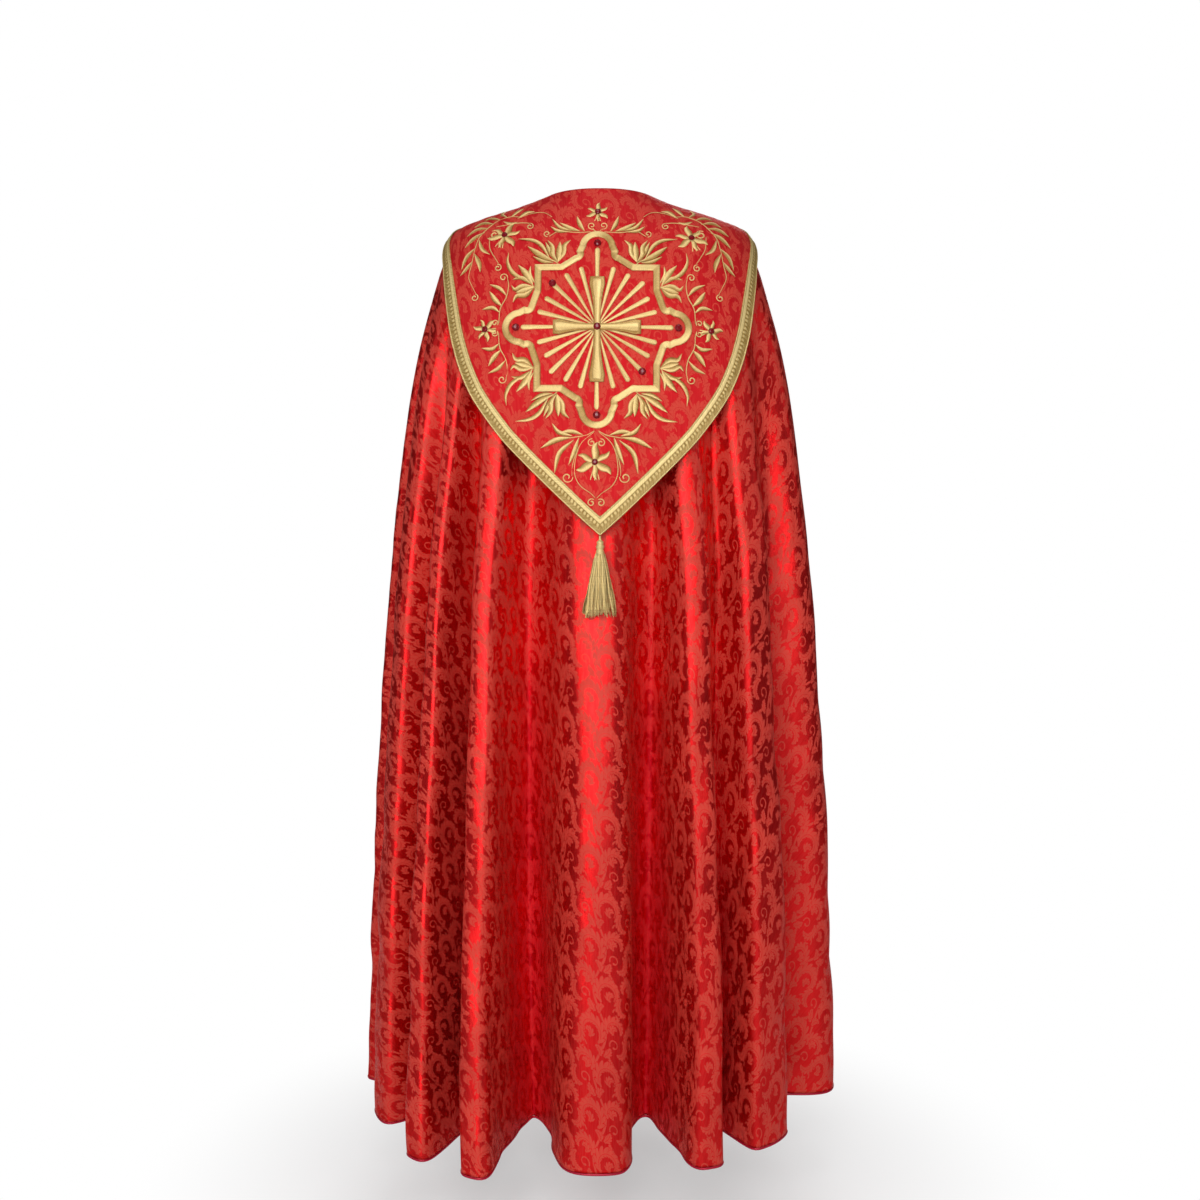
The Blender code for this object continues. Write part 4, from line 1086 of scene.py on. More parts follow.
def place_flat(points, angle, reach, turn=0.0):
    """Where a flat drawing lands on the hood: each point is carried straight onto it.

    The drawing's plane touches the hood at the given place, with its second axis up the
    hood. Newton's method finds each point's angle and reach, for all points at once.
    """
    angle, turn = math.radians(angle), math.radians(turn)
    middle = on_hood(angle, reach)
    up = unit(on_hood(angle, reach - SMALL) - on_hood(angle, reach + SMALL))
    side = on_hood(angle + SMALL, reach) - on_hood(angle - SMALL, reach)
    side = unit(side - up * (side @ up))
    cosine, sine = math.cos(turn), math.sin(turn)
    axes = np.array([cosine * side + sine * up, cosine * up - sine * side])
    drawn_at = lambda angles, depths: (on_hood(angles, depths) - middle) @ axes.T
    area_of = lambda one, other: one[:, 0] * other[:, 1] - one[:, 1] * other[:, 0]
    angles, depths = np.full(len(points), angle), np.full(len(points), float(reach))
    for _ in range(NEWTON_STEPS):
        here = drawn_at(angles, depths)
        by_angle = drawn_at(angles + SMALL, depths) - here
        by_reach = drawn_at(angles, depths + SMALL) - here
        area = area_of(by_angle, by_reach)
        turn_by = area_of(points - here, by_reach) / area * SMALL
        drop_by = area_of(by_angle, points - here) / area * SMALL
        angles = angles + np.clip(turn_by, -LONGEST_TURN, LONGEST_TURN)
        depths = np.clip(depths + np.clip(drop_by, -LONGEST_DROP, LONGEST_DROP), 0.003, 0.6)
    return angles, depths


# %% Satin strips
# each section is a row of places across the strip, with the height of its crown there
ROUND = ((-1, 0.0), (-0.7, 0.75), (0, 1.0), (0.7, 0.75), (1, 0.0))
FLAT_BAND = ((-1, 0.0), (-0.93, 0.62), (-0.8, 0.75), (0, 0.72), (0.8, 0.75), (0.93, 0.62),
             (1, 0.0))
SPLIT = ((-1, 0.0), (-0.78, 0.72), (-0.42, 1.0), (0, 0.62), (0.42, 1.0), (0.78, 0.72), (1, 0.0))
THINNEST, FULLER, FULLEST = 0.35, 0.24, 1.35  # the crown of a strip, by its half width
CLEAR = 0.25  # millimetres between the hood and the embroidery


def turned_left(ways):
    """Flat directions, turned by a right angle to the left."""
    return np.stack([-ways[..., 1], ways[..., 0]], -1)


def way_at(degrees):
    """A flat direction from its angle."""
    return np.array([math.cos(math.radians(degrees)), math.sin(math.radians(degrees))])


def underside(grid):
    """The flat faces under a strip, from one long edge to the other."""
    return np.stack([grid[:-1, 0], grid[:-1, -1], grid[1:, -1], grid[1:, 0]], -1)


def strip(line, widths, section=ROUND, step=2.2, tone=0.0, lean=0.0):
    """A strip along a smooth line (millimetres): grids of flat points, heights, tone with painted
    shade, and map.
    """
    line = np.asarray(line, float)
    curve = between(line, np.linspace(0, len(line) - 1, 16 * len(line)))
    run = run_along(curve)
    at = np.linspace(0, run[-1], max(4, int(run[-1] / step)) + 1)
    middle = points_at(curve, run, at)
    half = np.interp(at / run[-1], np.linspace(0, 1, len(widths)), widths)[:, None]
    left = turned_left(unit(np.gradient(middle, axis=0)))
    across, rise = np.array(section).T
    flat = middle[:, None] + left[:, None] * (half * across)[..., None]
    height = np.minimum(THINNEST + FULLER * half, FULLEST) * rise
    # lean is painted shade: it paints one half of the strip darker and the other lighter
    shade = tone + lean * np.sign(across) * np.minimum(1, np.abs(across) * 2)
    thread = np.stack(np.broadcast_arrays(at[:, None], half * across), -1)
    return flat, height, np.broadcast_to(shade, height.shape), thread


def satin(name, strips, node=None, place=EMBLEM_PLACE, clear=CLEAR):
    """One piece of embroidery from strips: each is a closed, crowned band on the hood."""
    flat, height, shade, thread = (np.concatenate([listed(grid) for grid in grids])
                                   for grids in zip(*strips))
    points = on_hood(*place_flat(flat / 1000, *place), clear / 1000 + height / 1000)
    tops, bottoms, caps, start = [], [], {}, 0
    for _, rises, *_ in strips:
        index = numbered(*rises.shape, start)
        start += index.size
        tops.append(quads(index))
        bottoms.append(underside(index))
        caps.setdefault(rises.shape[1], []).extend([index[0], index[-1][::-1]])
    groups = [np.concatenate(tops), np.concatenate(bottoms), *(np.array(c) for c in caps.values())]
    made = piece(name, points, groups, [gold_thread], flat_groups=range(1, len(groups)),
                 maps={"thread": thread / 1000}, values={"tone": shade})
    stands_for(made, node)
    return made


print("strip columns:", len(ROUND), "and", len(SPLIT))


# %% Leaves, stalks and scrolls
LEAF = (0.15, 0.68, 1.14, 1.25, 1.10, 0.66, 0.10)
CURL_SHRINK = 0.72


def mirrored(line, sx, sy=1):
    """A drawing turned over to the other side; leaf() turns the painted shade of its halves with
    it.
    """
    return [(sx * x, sy * y) for x, y in line]


def leaf(line, half, sx=1, sy=1, tone=0.05, lean=0.42):
    return strip(mirrored(line, sx, sy), [half * w for w in LEAF], SPLIT, 2.4, tone, lean * sx)


def leaves(drawn, sx, sy=1, tone=0.1, lean=0.4):
    """Leaves from rows of points that each end in the leaf's half width."""
    return [leaf(line, half, sx, sy, tone, lean) for *line, half in drawn]


def stalk(line, half=0.8, sx=1, sy=1, tone=0.1):
    widths = [half * 0.8, half, half, half * 0.7]
    return strip(mirrored(line, sx, sy), widths, ROUND, 2.6, tone)


def curl(middle, radius, start, turns, hand=1, sx=1, sy=1, half=0.85):
    """A thread scroll: the radius shrinks evenly with the turn, and it ends in a small knob."""
    at = np.linspace(0, 1, 14)
    turn = math.radians(start) + hand * at * turns * 2 * math.pi
    reach = radius * (1 - CURL_SHRINK * at)
    line = np.stack([middle[0] + reach * np.cos(turn), middle[1] + reach * np.sin(turn)], -1)
    widths = [half * 0.8, half, half, half, half * 1.3, half * 1.2]
    return strip(mirrored(line, sx, sy), widths, ROUND, 1.8, 0.2)


print("leaf, stalk and curl are strips")

# %% [markdown]
# ### The emblem: frame, rays and cross
# The frame is a barbed quatrefoil, a round lobe on each side and a square barb at each corner.
# Its corners are mitred, so it is worked out as lines at several offsets from the middle
# of the band, and each straight part is then divided along those lines. Rays and cross are
# strips like the leaves.

# %% Emblem frame
def arc(middle, radius, start, end, count):
    at = np.radians(np.linspace(start, end, count))
    return np.stack([middle[0] + radius * np.cos(at), middle[1] + radius * np.sin(at)], -1)


def frame_line(half_width, half_height):
    """The middle line of the barbed quatrefoil, in metres, from its top round to the right."""
    lobe = 0.0225
    quarter = np.vstack([
        arc((0.0, half_height - lobe), lobe, 90, 5, 10),
        arc((lobe + 0.0105, half_height - lobe - 0.011), 0.0075, 150, 262, 7),
        [(0.054, 0.0935), (0.0895, 0.0935), (0.0895, 0.0575)],
        arc((half_width - lobe - 0.0095, lobe + 0.0105), 0.0075, 188, 300, 7),
        arc((half_width - lobe, 0.0), lobe, 85, 0, 10),
    ])
    right = np.vstack([quarter, (quarter * (1, -1))[::-1][1:]])
    return np.vstack([right, (right * (-1, 1))[::-1][1:-1]])


def offset_line(points, distance):
    """A closed line moved to its left by a distance, mitred at its corners."""
    ahead = unit(np.roll(points, -1, axis=0) - points)
    along = unit(ahead + np.roll(ahead, 1, axis=0))
    stretch = 1 / np.maximum((along * ahead).sum(axis=1), 0.6)
    return points + turned_left(along) * (distance * stretch)[:, None]


FRAME_BAND, FRAME_HALF_WIDTH, FRAME_HALF_HEIGHT = 0.0106, 0.1430, 0.1545
FRAME_STEP, FRAME_CROWN = 0.003, 1.4
line = frame_line(FRAME_HALF_WIDTH - FRAME_BAND / 2, FRAME_HALF_HEIGHT - FRAME_BAND / 2)
across = np.array([-1, -0.86, -0.5, 0, 0.5, 0.86, 1])
rise = np.array([0, 0.85, 1.0, 1.05, 1.0, 0.85, 0]) * FRAME_CROWN
lines = np.stack([offset_line(line, a * FRAME_BAND / 2) for a in across], 1)
lines = np.concatenate([lines, lines[:1]])
cut = np.linalg.norm(np.diff(lines[:, 3], axis=0), axis=1)
parts = np.maximum(1, np.round(cut / FRAME_STEP)).astype(int)
at = np.concatenate([k + np.arange(n) / n for k, n in enumerate(parts)])
first = at.astype(int)
ring = lines[first] + (lines[first + 1] - lines[first]) * (at - first)[:, None, None]
heading = np.arctan2(*(lines[first + 1] - lines[first])[:, 3].T[::-1])
frame_run = run_along(ring[:, 3])
# Painted sheen: each part of the band is lighter or darker by its direction, as satin thread
# catches the light, and one edge is painted a little lighter
frame_painted_sheen = (0.12 + 0.34 * np.sin(2 * heading + 0.6))[:, None] + 0.10 * across[None, :]
points = on_hood(*place_flat(ring.reshape(-1, 2), *EMBLEM_PLACE),
                 CLEAR / 1000 + np.tile(rise, len(ring)) / 1000)
index = numbered(len(ring), len(across))
index = np.concatenate([index, index[:1]])
quatrefoil = piece("quatrefoil_band", points, [quads(index), underside(index)], [gold_thread],
                   flat_groups=(1,), values={"tone": frame_painted_sheen.ravel()},
                   maps={"thread": map_of(frame_run[:, None], across * FRAME_BAND / 2)})
stands_for(quatrefoil, "emblem_frame")
print("frame band", round(frame_run[-1], 2), "m long")

# %% Rays and cross
RAY_LENGTHS = (126, 97, 96, 100, 91, 93, 115)  # from the top round to the bottom
RAYS, RAY_START, RAY_TIP = 24, 8, 0.955
along_ray = np.linspace(0, 1, 61)
swell = (1.0 + 3.3 * along_ray) * np.sqrt(1 - np.clip((along_ray - RAY_TIP) / 0.046, 0, 1) ** 2)
rays = []
# Painted sheen: each ray's tone changes with its direction, as satin thread catches the light, and
# its lean paints one half darker
for k in range(RAYS):
    length = RAY_LENGTHS[6 - abs(k % 12 - 6)]
    heading = 90 - 360 / RAYS * k
    rays.append(strip([way_at(heading) * r for r in np.linspace(RAY_START, length, 5)], swell,
                      SPLIT, 1.5, 0.25 + 0.15 * math.sin(2 * math.radians(heading)), 0.10))
satin("rays", rays, "sunburst")

ARM = np.array((10.8, 12.0, 9.4, 7.4, 6.2, 5.5, 5.2, 5.0))
INNER_WIDTH, INNER_HEIGHT, ARM_HEIGHT = 0.62, 0.7, 0.75
cross_strips = []
# the second number of each arm is a painted shade that darkens one half of it, half as much on the
# outer band
for (x, y), away in (((0, 78), 0.22), ((0, -84), -0.22), ((-66, 0), 0.22), ((66, 0), -0.22)):
    outer_line = [(x * r, y * r) for r in (1, 0.67, 0.33, 0)]
    inner_line = [(x * r, y * r) for r in (0.95, 0.65, 0.33, 0.04)]
    flat, height, *rest = strip(inner_line, ARM * INNER_WIDTH, SPLIT, 2.2, 0.22, away)
    cross_strips += [strip(outer_line, ARM, FLAT_BAND, 2.2, -0.30, away / 2),
                     (flat, height * INNER_HEIGHT + ARM_HEIGHT, *rest)]
satin("cross", cross_strips, "emblem_cross", clear=1.6)
print("rays", len(rays))

# %% [markdown]
# ### Sprays, lilies and tendrils
# Round the frame grow leaf sprays, four lilies and thin tendrils that end in scrolls. Each
# leaf is drawn as a few points of its middle line and a width. One quarter of the
# sprays is drawn and turned over to the other three.

# %% Sprays round the frame
UPPER = [((60, 102), (52, 117), (50, 130), (41, 139), 3.6), ((60, 102), (58, 116), (57, 136), 4.2),
         ((60, 102), (68, 114), (69, 128), (76, 139), 3.6),
         ((64, 104), (72, 119), (79, 136), 2.8), ((66, 103), (84, 112), (106, 129), 4.0),
         ((72, 107), (85, 130), (100, 140), (121, 143), 2.7),
         ((66, 101), (82, 103), (98, 112), 2.4)]
UPPER_STEM = [(58, 96), (61, 101), (66, 104), (73, 108)]
OUTER = [((95, 62), (112, 64), (124, 59), (130, 66), 3.4), ((95, 62), (110, 57), (123, 54), 3.8),
         ((95, 62), (108, 50), (121, 49), (127, 39), 3.4),
         ((97, 65), (108, 84), (120, 98), 4.0), ((100, 68), (126, 84), (136, 102), (135, 119), 2.7),
         ((94, 68), (102, 82), (101, 96), 2.3), ((98, 66), (114, 77), (128, 75), 2.8)]
OUTER_STEM = [(92, 59), (96, 63), (99, 67), (103, 71)]
BASE = [((36, -166), (56, -160), (66, -147), 2.8), ((38, -168), (60, -172), (83, -184), 3.4),
        ((20, -164), (38, -159), (57, -162), 2.8), ((34, -172), (55, -192), (62, -222), 3.0),
        ((26, -168), (33, -190), (41, -209), 3.0)]
BASE_STEM = [(3, -158), (14, -164), (28, -167), (42, -169)]
SIDES_OF_HOOD = ((-1, "left"), (1, "right"))


def spray(name, drawn, sx, sy, stem):
    """A spray on its stem: its leaves are lighter and darker in turn, and each has a painted shade
    on one half.
    """
    strips = [stalk(stem, 0.9, sx, sy)]
    for k, (*line, half) in enumerate(drawn):
        tone = 0.10 if k % 2 else -0.02
        strips.append(leaf(line, half, sx, sy, tone, 0.40 if sy > 0 else -0.40))
    satin(name, strips, name)


for sx, side in SIDES_OF_HOOD:
    spray("spray_upper_" + side, UPPER, sx, 1, UPPER_STEM)
    spray("spray_lower_" + side, UPPER, sx, -1, UPPER_STEM)
    spray("spray_outer_upper_" + side, OUTER, sx, 1, OUTER_STEM)
    spray("spray_outer_lower_" + side, OUTER, sx, -1, OUTER_STEM)
    satin("spray_base_" + side, [stalk(BASE_STEM, 0.9, sx)] + leaves(BASE, sx, 1, 0.05),
          "spray_base_" + side)
print("sprays:", len(UPPER) + len(OUTER), "leaves in each quarter")

# %% Lilies
# name, degrees round the hood, metres below the neckline, size in millimetres, turn in degrees
LILIES = [("top", -1.2, 0.052, 19, 0), ("left", -33.5, 0.269, 19, 90),
          ("right", 32.0, 0.270, 19, -90), ("bottom", -1.2, 0.446, 30, 0),
          ("shoulder_left", -39.5, 0.118, 27, 20), ("shoulder_right", 36.5, 0.121, 27, -20)]
PETAL = (0.35, 0.8, 1.0, 0.92, 0.62, 0.10)


def lily(size):
    """Six petals in turn broad and narrow, each recurved at its tip, and three stamens."""
    strips = []
    for k in (1, 3, 5, 0, 2, 4):
        broad = k % 2 == 0
        way = way_at(90 + 60 * k)
        side = turned_left(way) * (-1 if broad else 1)
        reach = size * (1.0 if broad else 0.9)
        line = [way * reach * 0.06, way * reach * 0.42 + side * reach * 0.04,
                way * reach * 0.74, way * reach + side * reach * 0.13]
        half = size * (0.20 if broad else 0.155)
        # each petal has a painted shade: one half darker, the other lighter
        strips.append(strip(line, [half * w for w in PETAL], SPLIT, max(1.2, size * 0.09), 0.10,
                            0.42 if k in (0, 1, 2) else -0.42))
    for turn in (-104, -90, -76):
        line = [way_at(turn) * size * r for r in (0.25, 0.6, 0.92)]
        strips.append(strip(line, [0.35, 0.35, 0.4, 0.9, 0.7], ROUND, 1.6, 0.5))
    return strips


for name, angle, depth, size, turn in LILIES:
    satin("lily_" + name, lily(size), "lily_" + name, (angle, depth, turn), clear=0.5)
print("lilies:", len(LILIES))

# %% Tendrils
TOP_LEAVES = (((20, 154), (27, 166), (32, 181), 2.8), ((27, 154), (43, 160), (58, 170), 3.2),
              ((40, 155), (58, 162), (70, 178), 2.3), ((46, 153), (62, 156), (72, 164), 2.3))
SIDE_LEAVES = (((147, 24), (158, 32), (174, 30), 2.5), ((144, 34), (154, 44), (163, 58), 3.2),
               ((137, 50), (148, 62), (163, 69), 2.5))
thin = []
for sx in (-1, 1):
    # beside the top lily
    thin += [stalk([(10, 153), (34, 152), (58, 155), (74, 146)], 0.8, sx),
             curl((77, 151), 5.5, -100, 1.1, 1, sx), *leaves(TOP_LEAVES, sx),
             curl((9, 164), 6.5, -120, 1.2, 1, sx),
             stalk([(2, 152), (5, 156), (9, 158)], 0.9, sx)]
    # beside the side lily, upwards and downwards
    for sy in (1, -1):
        thin += [stalk([(148, 8), (146, 30), (137, 48), (134, 66), (136, 78)], 0.85, sx, sy),
                 curl((142, 79), 6.5, 190, 1.15, -1, sx, sy),
                 curl((154, 8), 5.2, 220, 1.2, -1, sx, sy), *leaves(SIDE_LEAVES, sx, sy)]
    # the lyre round the bottom lily
    thin += [stalk([(4, -160), (22, -176), (30, -196), (32, -222), (24, -240), (8, -252),
                    (1, -259)], 0.7, sx),
             stalk([(27, -184), (33, -200), (36, -216), (36, -226)], 0.7, sx),
             curl((43, -228), 8.5, 175, 1.15, 1, sx), curl((7, -266), 6.2, 130, 1.2, -1, sx),
             curl((7, -176), 6.2, 100, 1.2, -1, sx)]
satin("tendrils", thin)
print("tendrils:", len(thin), "strips")

# %% Shoulder sprays
SHOULDER_LEAVES = (
    ((122, 186), (110, 196), (98, 196), 2.6), ((134, 190), (124, 202), (116, 208), 2.6),
    ((140, 188), (150, 200), (144, 212), 2.4), ((150, 184), (166, 192), (178, 190), 2.6),
    ((160, 176), (178, 182), (192, 174), 2.8), ((168, 168), (186, 168), (202, 156), 2.8),
    ((174, 160), (190, 150), (204, 134), 2.8), ((182, 146), (176, 128), (164, 118), 2.6),
    ((186, 132), (200, 118), (208, 98), 2.6), ((188, 122), (180, 104), (178, 90), 3.0),
    ((190, 110), (202, 96), (210, 88), 2.4), ((146, 180), (134, 174), (124, 176), 2.2))
for sx, side in SIDES_OF_HOOD:
    group = [stalk([(118, 186), (136, 190), (156, 182), (170, 168), (182, 150), (188, 128)],
                   0.9, sx),
             stalk([(70, 182), (84, 192), (104, 192), (124, 184)], 0.6, sx),
             stalk([(188, 128), (192, 104), (196, 84), (190, 68), (184, 56)], 0.6, sx),
             curl((186, 50), 6.0, 100, 1.2, 1, sx), curl((104, 166), 6.0, 90, 1.25, 1, sx),
             stalk([(104, 172), (120, 174), (140, 172), (156, 170)], 0.8, sx),
             curl((158, 154), 8.5, 60, 1.3, 1, sx, 1, 1.1),
             stalk([(166, 150), (164, 128), (156, 112), (150, 102)], 0.7, sx),
             curl((151, 95), 6.0, 80, 1.25, 1, sx), *leaves(SHOULDER_LEAVES, sx, 1, 0.08)]
    satin("spray_shoulder_" + side, group, "spray_shoulder_" + side)
print("shoulder sprays:", len(SHOULDER_LEAVES), "leaves each")

# %% [markdown]
# ## The stones
# Thirteen small red stones sit in the emblem and in the lilies. Each is a cut glass stone:
# a flat table, a ring of slanted facets that are turned by half a step, and a thin girdle.
# Flat shading keeps the facets crisp, which is what makes a stone sparkle.

# %% Red glass
red_glass, tree, shader = new_finish("red_glass")
# Painted shade: the glass's colour darkens as its faces turn away from the camera
painted_rim_shade, = values_of(add(tree, "ShaderNodeLayerWeight", {"Blend": 0.35}), "Facing")
feed_all(shader, {"Base Color": blend_colour(painted_rim_shade, (0.20, 0.002, 0.008), (0.04, 0.0, 0.002)),
                  "Roughness": 0.16, "Specular IOR Level": 0.35})
print("finish:", red_glass.name)

# %% Cut stones
STONE_RADIUS, STONE_SIDES = 0.0058, 8
LILY_STONE = 0.85  # of the other stones' radius
# radius, rise (both as shares of the stone's radius) and turn (in steps) of each ring
STONE_RINGS = np.array([(0.93, 0.0, 0), (1.0, 0.24, 0), (0.80, 0.54, 0.5), (0.40, 0.72, 0.0)])
EMBLEM_STONES = {"middle": (0, 0), "top": (0, 133), "bottom": (0, -134), "left": (-122, 0),
                 "right": (122, 0), "upper_left": (-67.5, 67.5), "lower_right": (67.5, -67.5)}


def round_grid(seat, axes, radius, turn, rise):
    """Rings of points round a seat, from their radius, angle and rise along three axes."""
    side, up, out = axes
    return (seat + (radius * np.cos(turn))[..., None] * side
            + (radius * np.sin(turn))[..., None] * up + rise[..., None] * out)


def stone(name, angle, depth, radius, above):
    """A cut stone: four rings of eight corners, one of them turned by half a step."""
    seat, tip = on_hood(np.full(2, angle), np.full(2, depth), np.array([above, above + 1e-3]))
    out = unit(tip - seat)
    side = unit(np.cross(out, (0.0, 0.0, 1.0)))
    up = np.cross(side, out)
    size, rise, step = STONE_RINGS.T[..., None]
    turn = 2 * np.pi * (np.arange(STONE_SIDES)[None, :] + step) / STONE_SIDES
    points = round_grid(seat, (side, up, out), radius * size, turn, radius * rise)
    index = numbered(*turn.shape)
    after = np.roll(index, -1, axis=1)
    girdle = np.stack([index[0], after[0], after[1], index[1]], -1)
    crown = np.concatenate([np.stack(corners, -1) for corners in (
        (index[1], after[1], index[2]), (after[1], after[2], index[2]),
        (index[2], after[3], index[3]), (index[2], after[2], after[3]))])
    groups = [girdle, crown, index[3:4], index[:1, ::-1]]
    if np.dot(np.cross(side, up), out) < 0:
        groups = [group[:, ::-1] for group in groups]
    made = piece("gem_" + name, listed(points), groups, [red_glass], flat_groups=range(4))
    stands_for(made, "stone_" + name)


for name, (x, y) in EMBLEM_STONES.items():
    angles, depths = place_flat(np.array([(x / 1000, y / 1000)]), *EMBLEM_PLACE)
    above = 0.0031 if name == "middle" else 0.0014
    stone(name, angles[0], depths[0], STONE_RADIUS, above)
for name, angle, depth, size, turn in LILIES:
    stone("lily_" + name, math.radians(angle), depth, STONE_RADIUS * LILY_STONE, 0.0018)
print("stones:", len(EMBLEM_STONES) + len(LILIES))

# %% [markdown]
# ## The galloon
# The hood is edged with galloon, a woven gold braid. It has a corded edge on both sides, a
# row of slanted scales along the outside, a row of small rings along the middle, and a
# plain cream plait along the inside.
# It is modelled as a relief: a grid that follows the hood's edge, with a height for each
# of these. At the hood's point its two arms meet in a mitre, so there the grid's
# lines start where each of them crosses the middle.

# %% The galloon's lines
# distances across the galloon and along it are in millimetres, from the hood's edge
LAST_ANGLE, COLUMN_STEP = 125, 0.00125  # each arm ends at this angle, in degrees
half = fine_angle >= 0
edge_angle, arm = fine_angle[half], edge_points[half]
arm_run = run_along(arm)
arm_end = float(np.interp(math.radians(LAST_ANGLE), edge_angle, arm_run))
edge_depth = hood_edge(edge_angle)
slope = lambda turn, drop: (on_hood(edge_angle + turn, edge_depth + drop)
                            - on_hood(edge_angle - turn, edge_depth - drop)) / (2 * SMALL)
by_angle, by_reach = slope(SMALL, 0), slope(0, SMALL)
along = unit(np.gradient(arm, axis=0))
across_way = unit(np.cross(unit(np.cross(by_reach, by_angle)), along))
basis = np.stack([by_angle, by_reach], -1)
move = np.linalg.solve(np.einsum("nki,nkj->nij", basis, basis),
                       np.einsum("nki,nk->ni", basis, across_way)[..., None])[..., 0]
move *= np.where(move[:, 1:] > 0, -1, 1)
across = np.array([0.0, 0.15, 0.7, 1.3, 1.9, 2.5, 3.1, 4.0, 5.0, 6.0, 7.0, 8.0, 9.0, 10.0, 11.0,
                   11.8, 12.4, 13.0, 14.2, 15.6, 17.0, 18.2, 18.8, 19.4, 20.1, 20.8, 21.35, 21.5])
starts = np.array([np.interp(0, edge_angle + w / 1000 * move[:, 0], arm_run) for w in across])
ARM_COLUMNS = int(arm_end / COLUMN_STEP)
along_at = (starts[:, None]
            + (arm_end - starts[:, None]) * np.linspace(0, 1, ARM_COLUMNS + 1)[None, :])
read = lambda table: np.interp(along_at, arm_run, table)
band_angle = read(edge_angle) + across[:, None] / 1000 * read(move[:, 0])
band_reach = np.maximum(read(edge_depth) + across[:, None] / 1000 * read(move[:, 1]), 0.002)
t, w = along_at * 1000, np.broadcast_to(across[:, None], along_at.shape)
print("galloon", len(across), "lines,", ARM_COLUMNS, "steps in each arm")

# %% The galloon's relief
RING_LINE, RING_REPEAT, SCALE_REPEAT, CORD_TWIST = 10.2, 6.6, 3.3, 2.6


def cord_ridge(middle, radius, slant):
    """A round ridge with the slanted ripple of a twisted cord."""
    off = (w - middle) / radius
    ripple = 0.22 * np.sin(2 * np.pi * (t / CORD_TWIST + slant * off / 2))
    return np.sqrt(np.clip(1 - off ** 2, 0, 1)) * (1.05 + ripple)


cell = (t - 0.25 * (w - RING_LINE)) / RING_REPEAT
cell = cell - np.round(cell)
from_ring = np.sqrt((cell * RING_REPEAT / 2.75) ** 2 + ((w - RING_LINE) / 2.7) ** 2)
ring = np.sqrt(np.clip(1.05 - from_ring ** 2, 0, 1)) - 0.42 * np.exp(-(from_ring / 0.32) ** 2)
between_rings = np.exp(-((np.abs(cell) - 0.5) / 0.11) ** 2 - ((w - RING_LINE) / 2.4) ** 2)
outside = smooth_step(2.5, 3.0, w) * (1 - smooth_step(7.0, 8.0, w))
scale_turn = t / SCALE_REPEAT + 0.30 * w + 0.10 * np.sin(1.3 * w)
scales = outside * (0.5 + 0.5 * np.sin(2 * np.pi * scale_turn))
inside = smooth_step(12.8, 13.8, w) * (1 - smooth_step(18.2, 19.0, w))
plait = 0.5 + 0.5 * np.sin(2 * np.pi * (t / SCALE_REPEAT + np.abs(w - 16) / 3.0))
relief = (0.20 + cord_ridge(1.3, 1.25, 1) + cord_ridge(20.1, 1.35, -1) + 0.95 * ring
          + 0.55 * scales + inside * (0.45 + 0.30 * plait))
relief[0], relief[-1] = 0, 0
# Painted highlight and shade: the tone is lighter on the rings, scales and cords that stand up and
# darker between the rings; the cream plait inside is the braid's own lighter colour
galloon_tone_and_shade = (-0.42 + 0.65 * ring - 0.65 * between_rings + 0.30 * scales * outside
             + inside * (0.60 + 0.20 * plait) + 0.70 * np.exp(-((w - 1.3) / 1.0) ** 2)
             + 0.60 * np.exp(-((w - 20.1) / 1.1) ** 2))
print("relief up to", round(relief.max(), 2), "mm")

# %% The galloon's mesh
full = lambda table, sign: np.concatenate([sign * table[:, :0:-1], table], axis=1)
angle_grid, reach_grid = full(band_angle, -1), full(band_reach, 1)
angle_grid[:, ARM_COLUMNS] = 0.0
top = on_hood(angle_grid, reach_grid, 0.0006 + full(relief, 1) / 1000)
low_columns = np.unique(np.append(np.arange(0, 2 * ARM_COLUMNS + 1, 4), 2 * ARM_COLUMNS))
galloon = shell("galloon_braid", top, on_hood(angle_grid, reach_grid, CLEAR / 1000),
                [woven_gold], (np.array([0, len(across) - 1]), low_columns), True,
                maps={"thread": np.stack([full(t, -1), full(w, 1)], -1) / 1000},
                values={"tone": full(galloon_tone_and_shade, 1)})
stands_for(galloon, "galloon")
print("galloon", round(2 * arm_end, 2), "m,", triangles(galloon), "triangles")

# %% [markdown]
# ## The tassel
# A small tassel hangs from the hood's point: a loop of cord, a head that is wound round
# with gold thread, and a skirt of loose threads. The head is a turned profile with fine
# ridges. The skirt's threads are thin tubes that start close together under the head,
# spread to the sides, wave a little and end at slightly different lengths.

# %% The tassel's head
# radius and drop, from the cord's loop down to the head's end
HEAD = np.array([
    (0.0016, 0.0), (0.0016, 0.0060), (0.0048, 0.0075), (0.0056, 0.0100), (0.0046, 0.0120),
    (0.0060, 0.0145), (0.0062, 0.0170), (0.0046, 0.0190), (0.0058, 0.0215), (0.0066, 0.0260)])
HEAD_RADIUS, HEAD_LENGTH = HEAD[-1]
HEAD_RINGS, HEAD_SIDES, WINDING = 60, 20, 0.0011
tassel_top = on_hood(0.0, HOOD_REACH) - (0.0, 0.0, GAP)
drops = np.linspace(0, HEAD_LENGTH, HEAD_RINGS)
radii = np.interp(drops, HEAD[:, 1], HEAD[:, 0])
radii = np.convolve(np.pad(radii, 2, mode="edge"), np.ones(5) / 5, "valid")
turn = circle(HEAD_SIDES)
ripple = 0.035 * np.sin(2 * np.pi * drops[:, None] / WINDING + turn)
grid = round_grid(tassel_top, np.diag((1.0, 1.0, -1.0)), radii[:, None] * (1 + ripple), turn,
                  drops[:, None])
head_points, index = listed(grid), numbered(HEAD_RINGS, HEAD_SIDES)
head_groups = [quads(wrapped(index)), index[:1], index[-1:, ::-1]]
print("tassel head", len(head_points), "points")

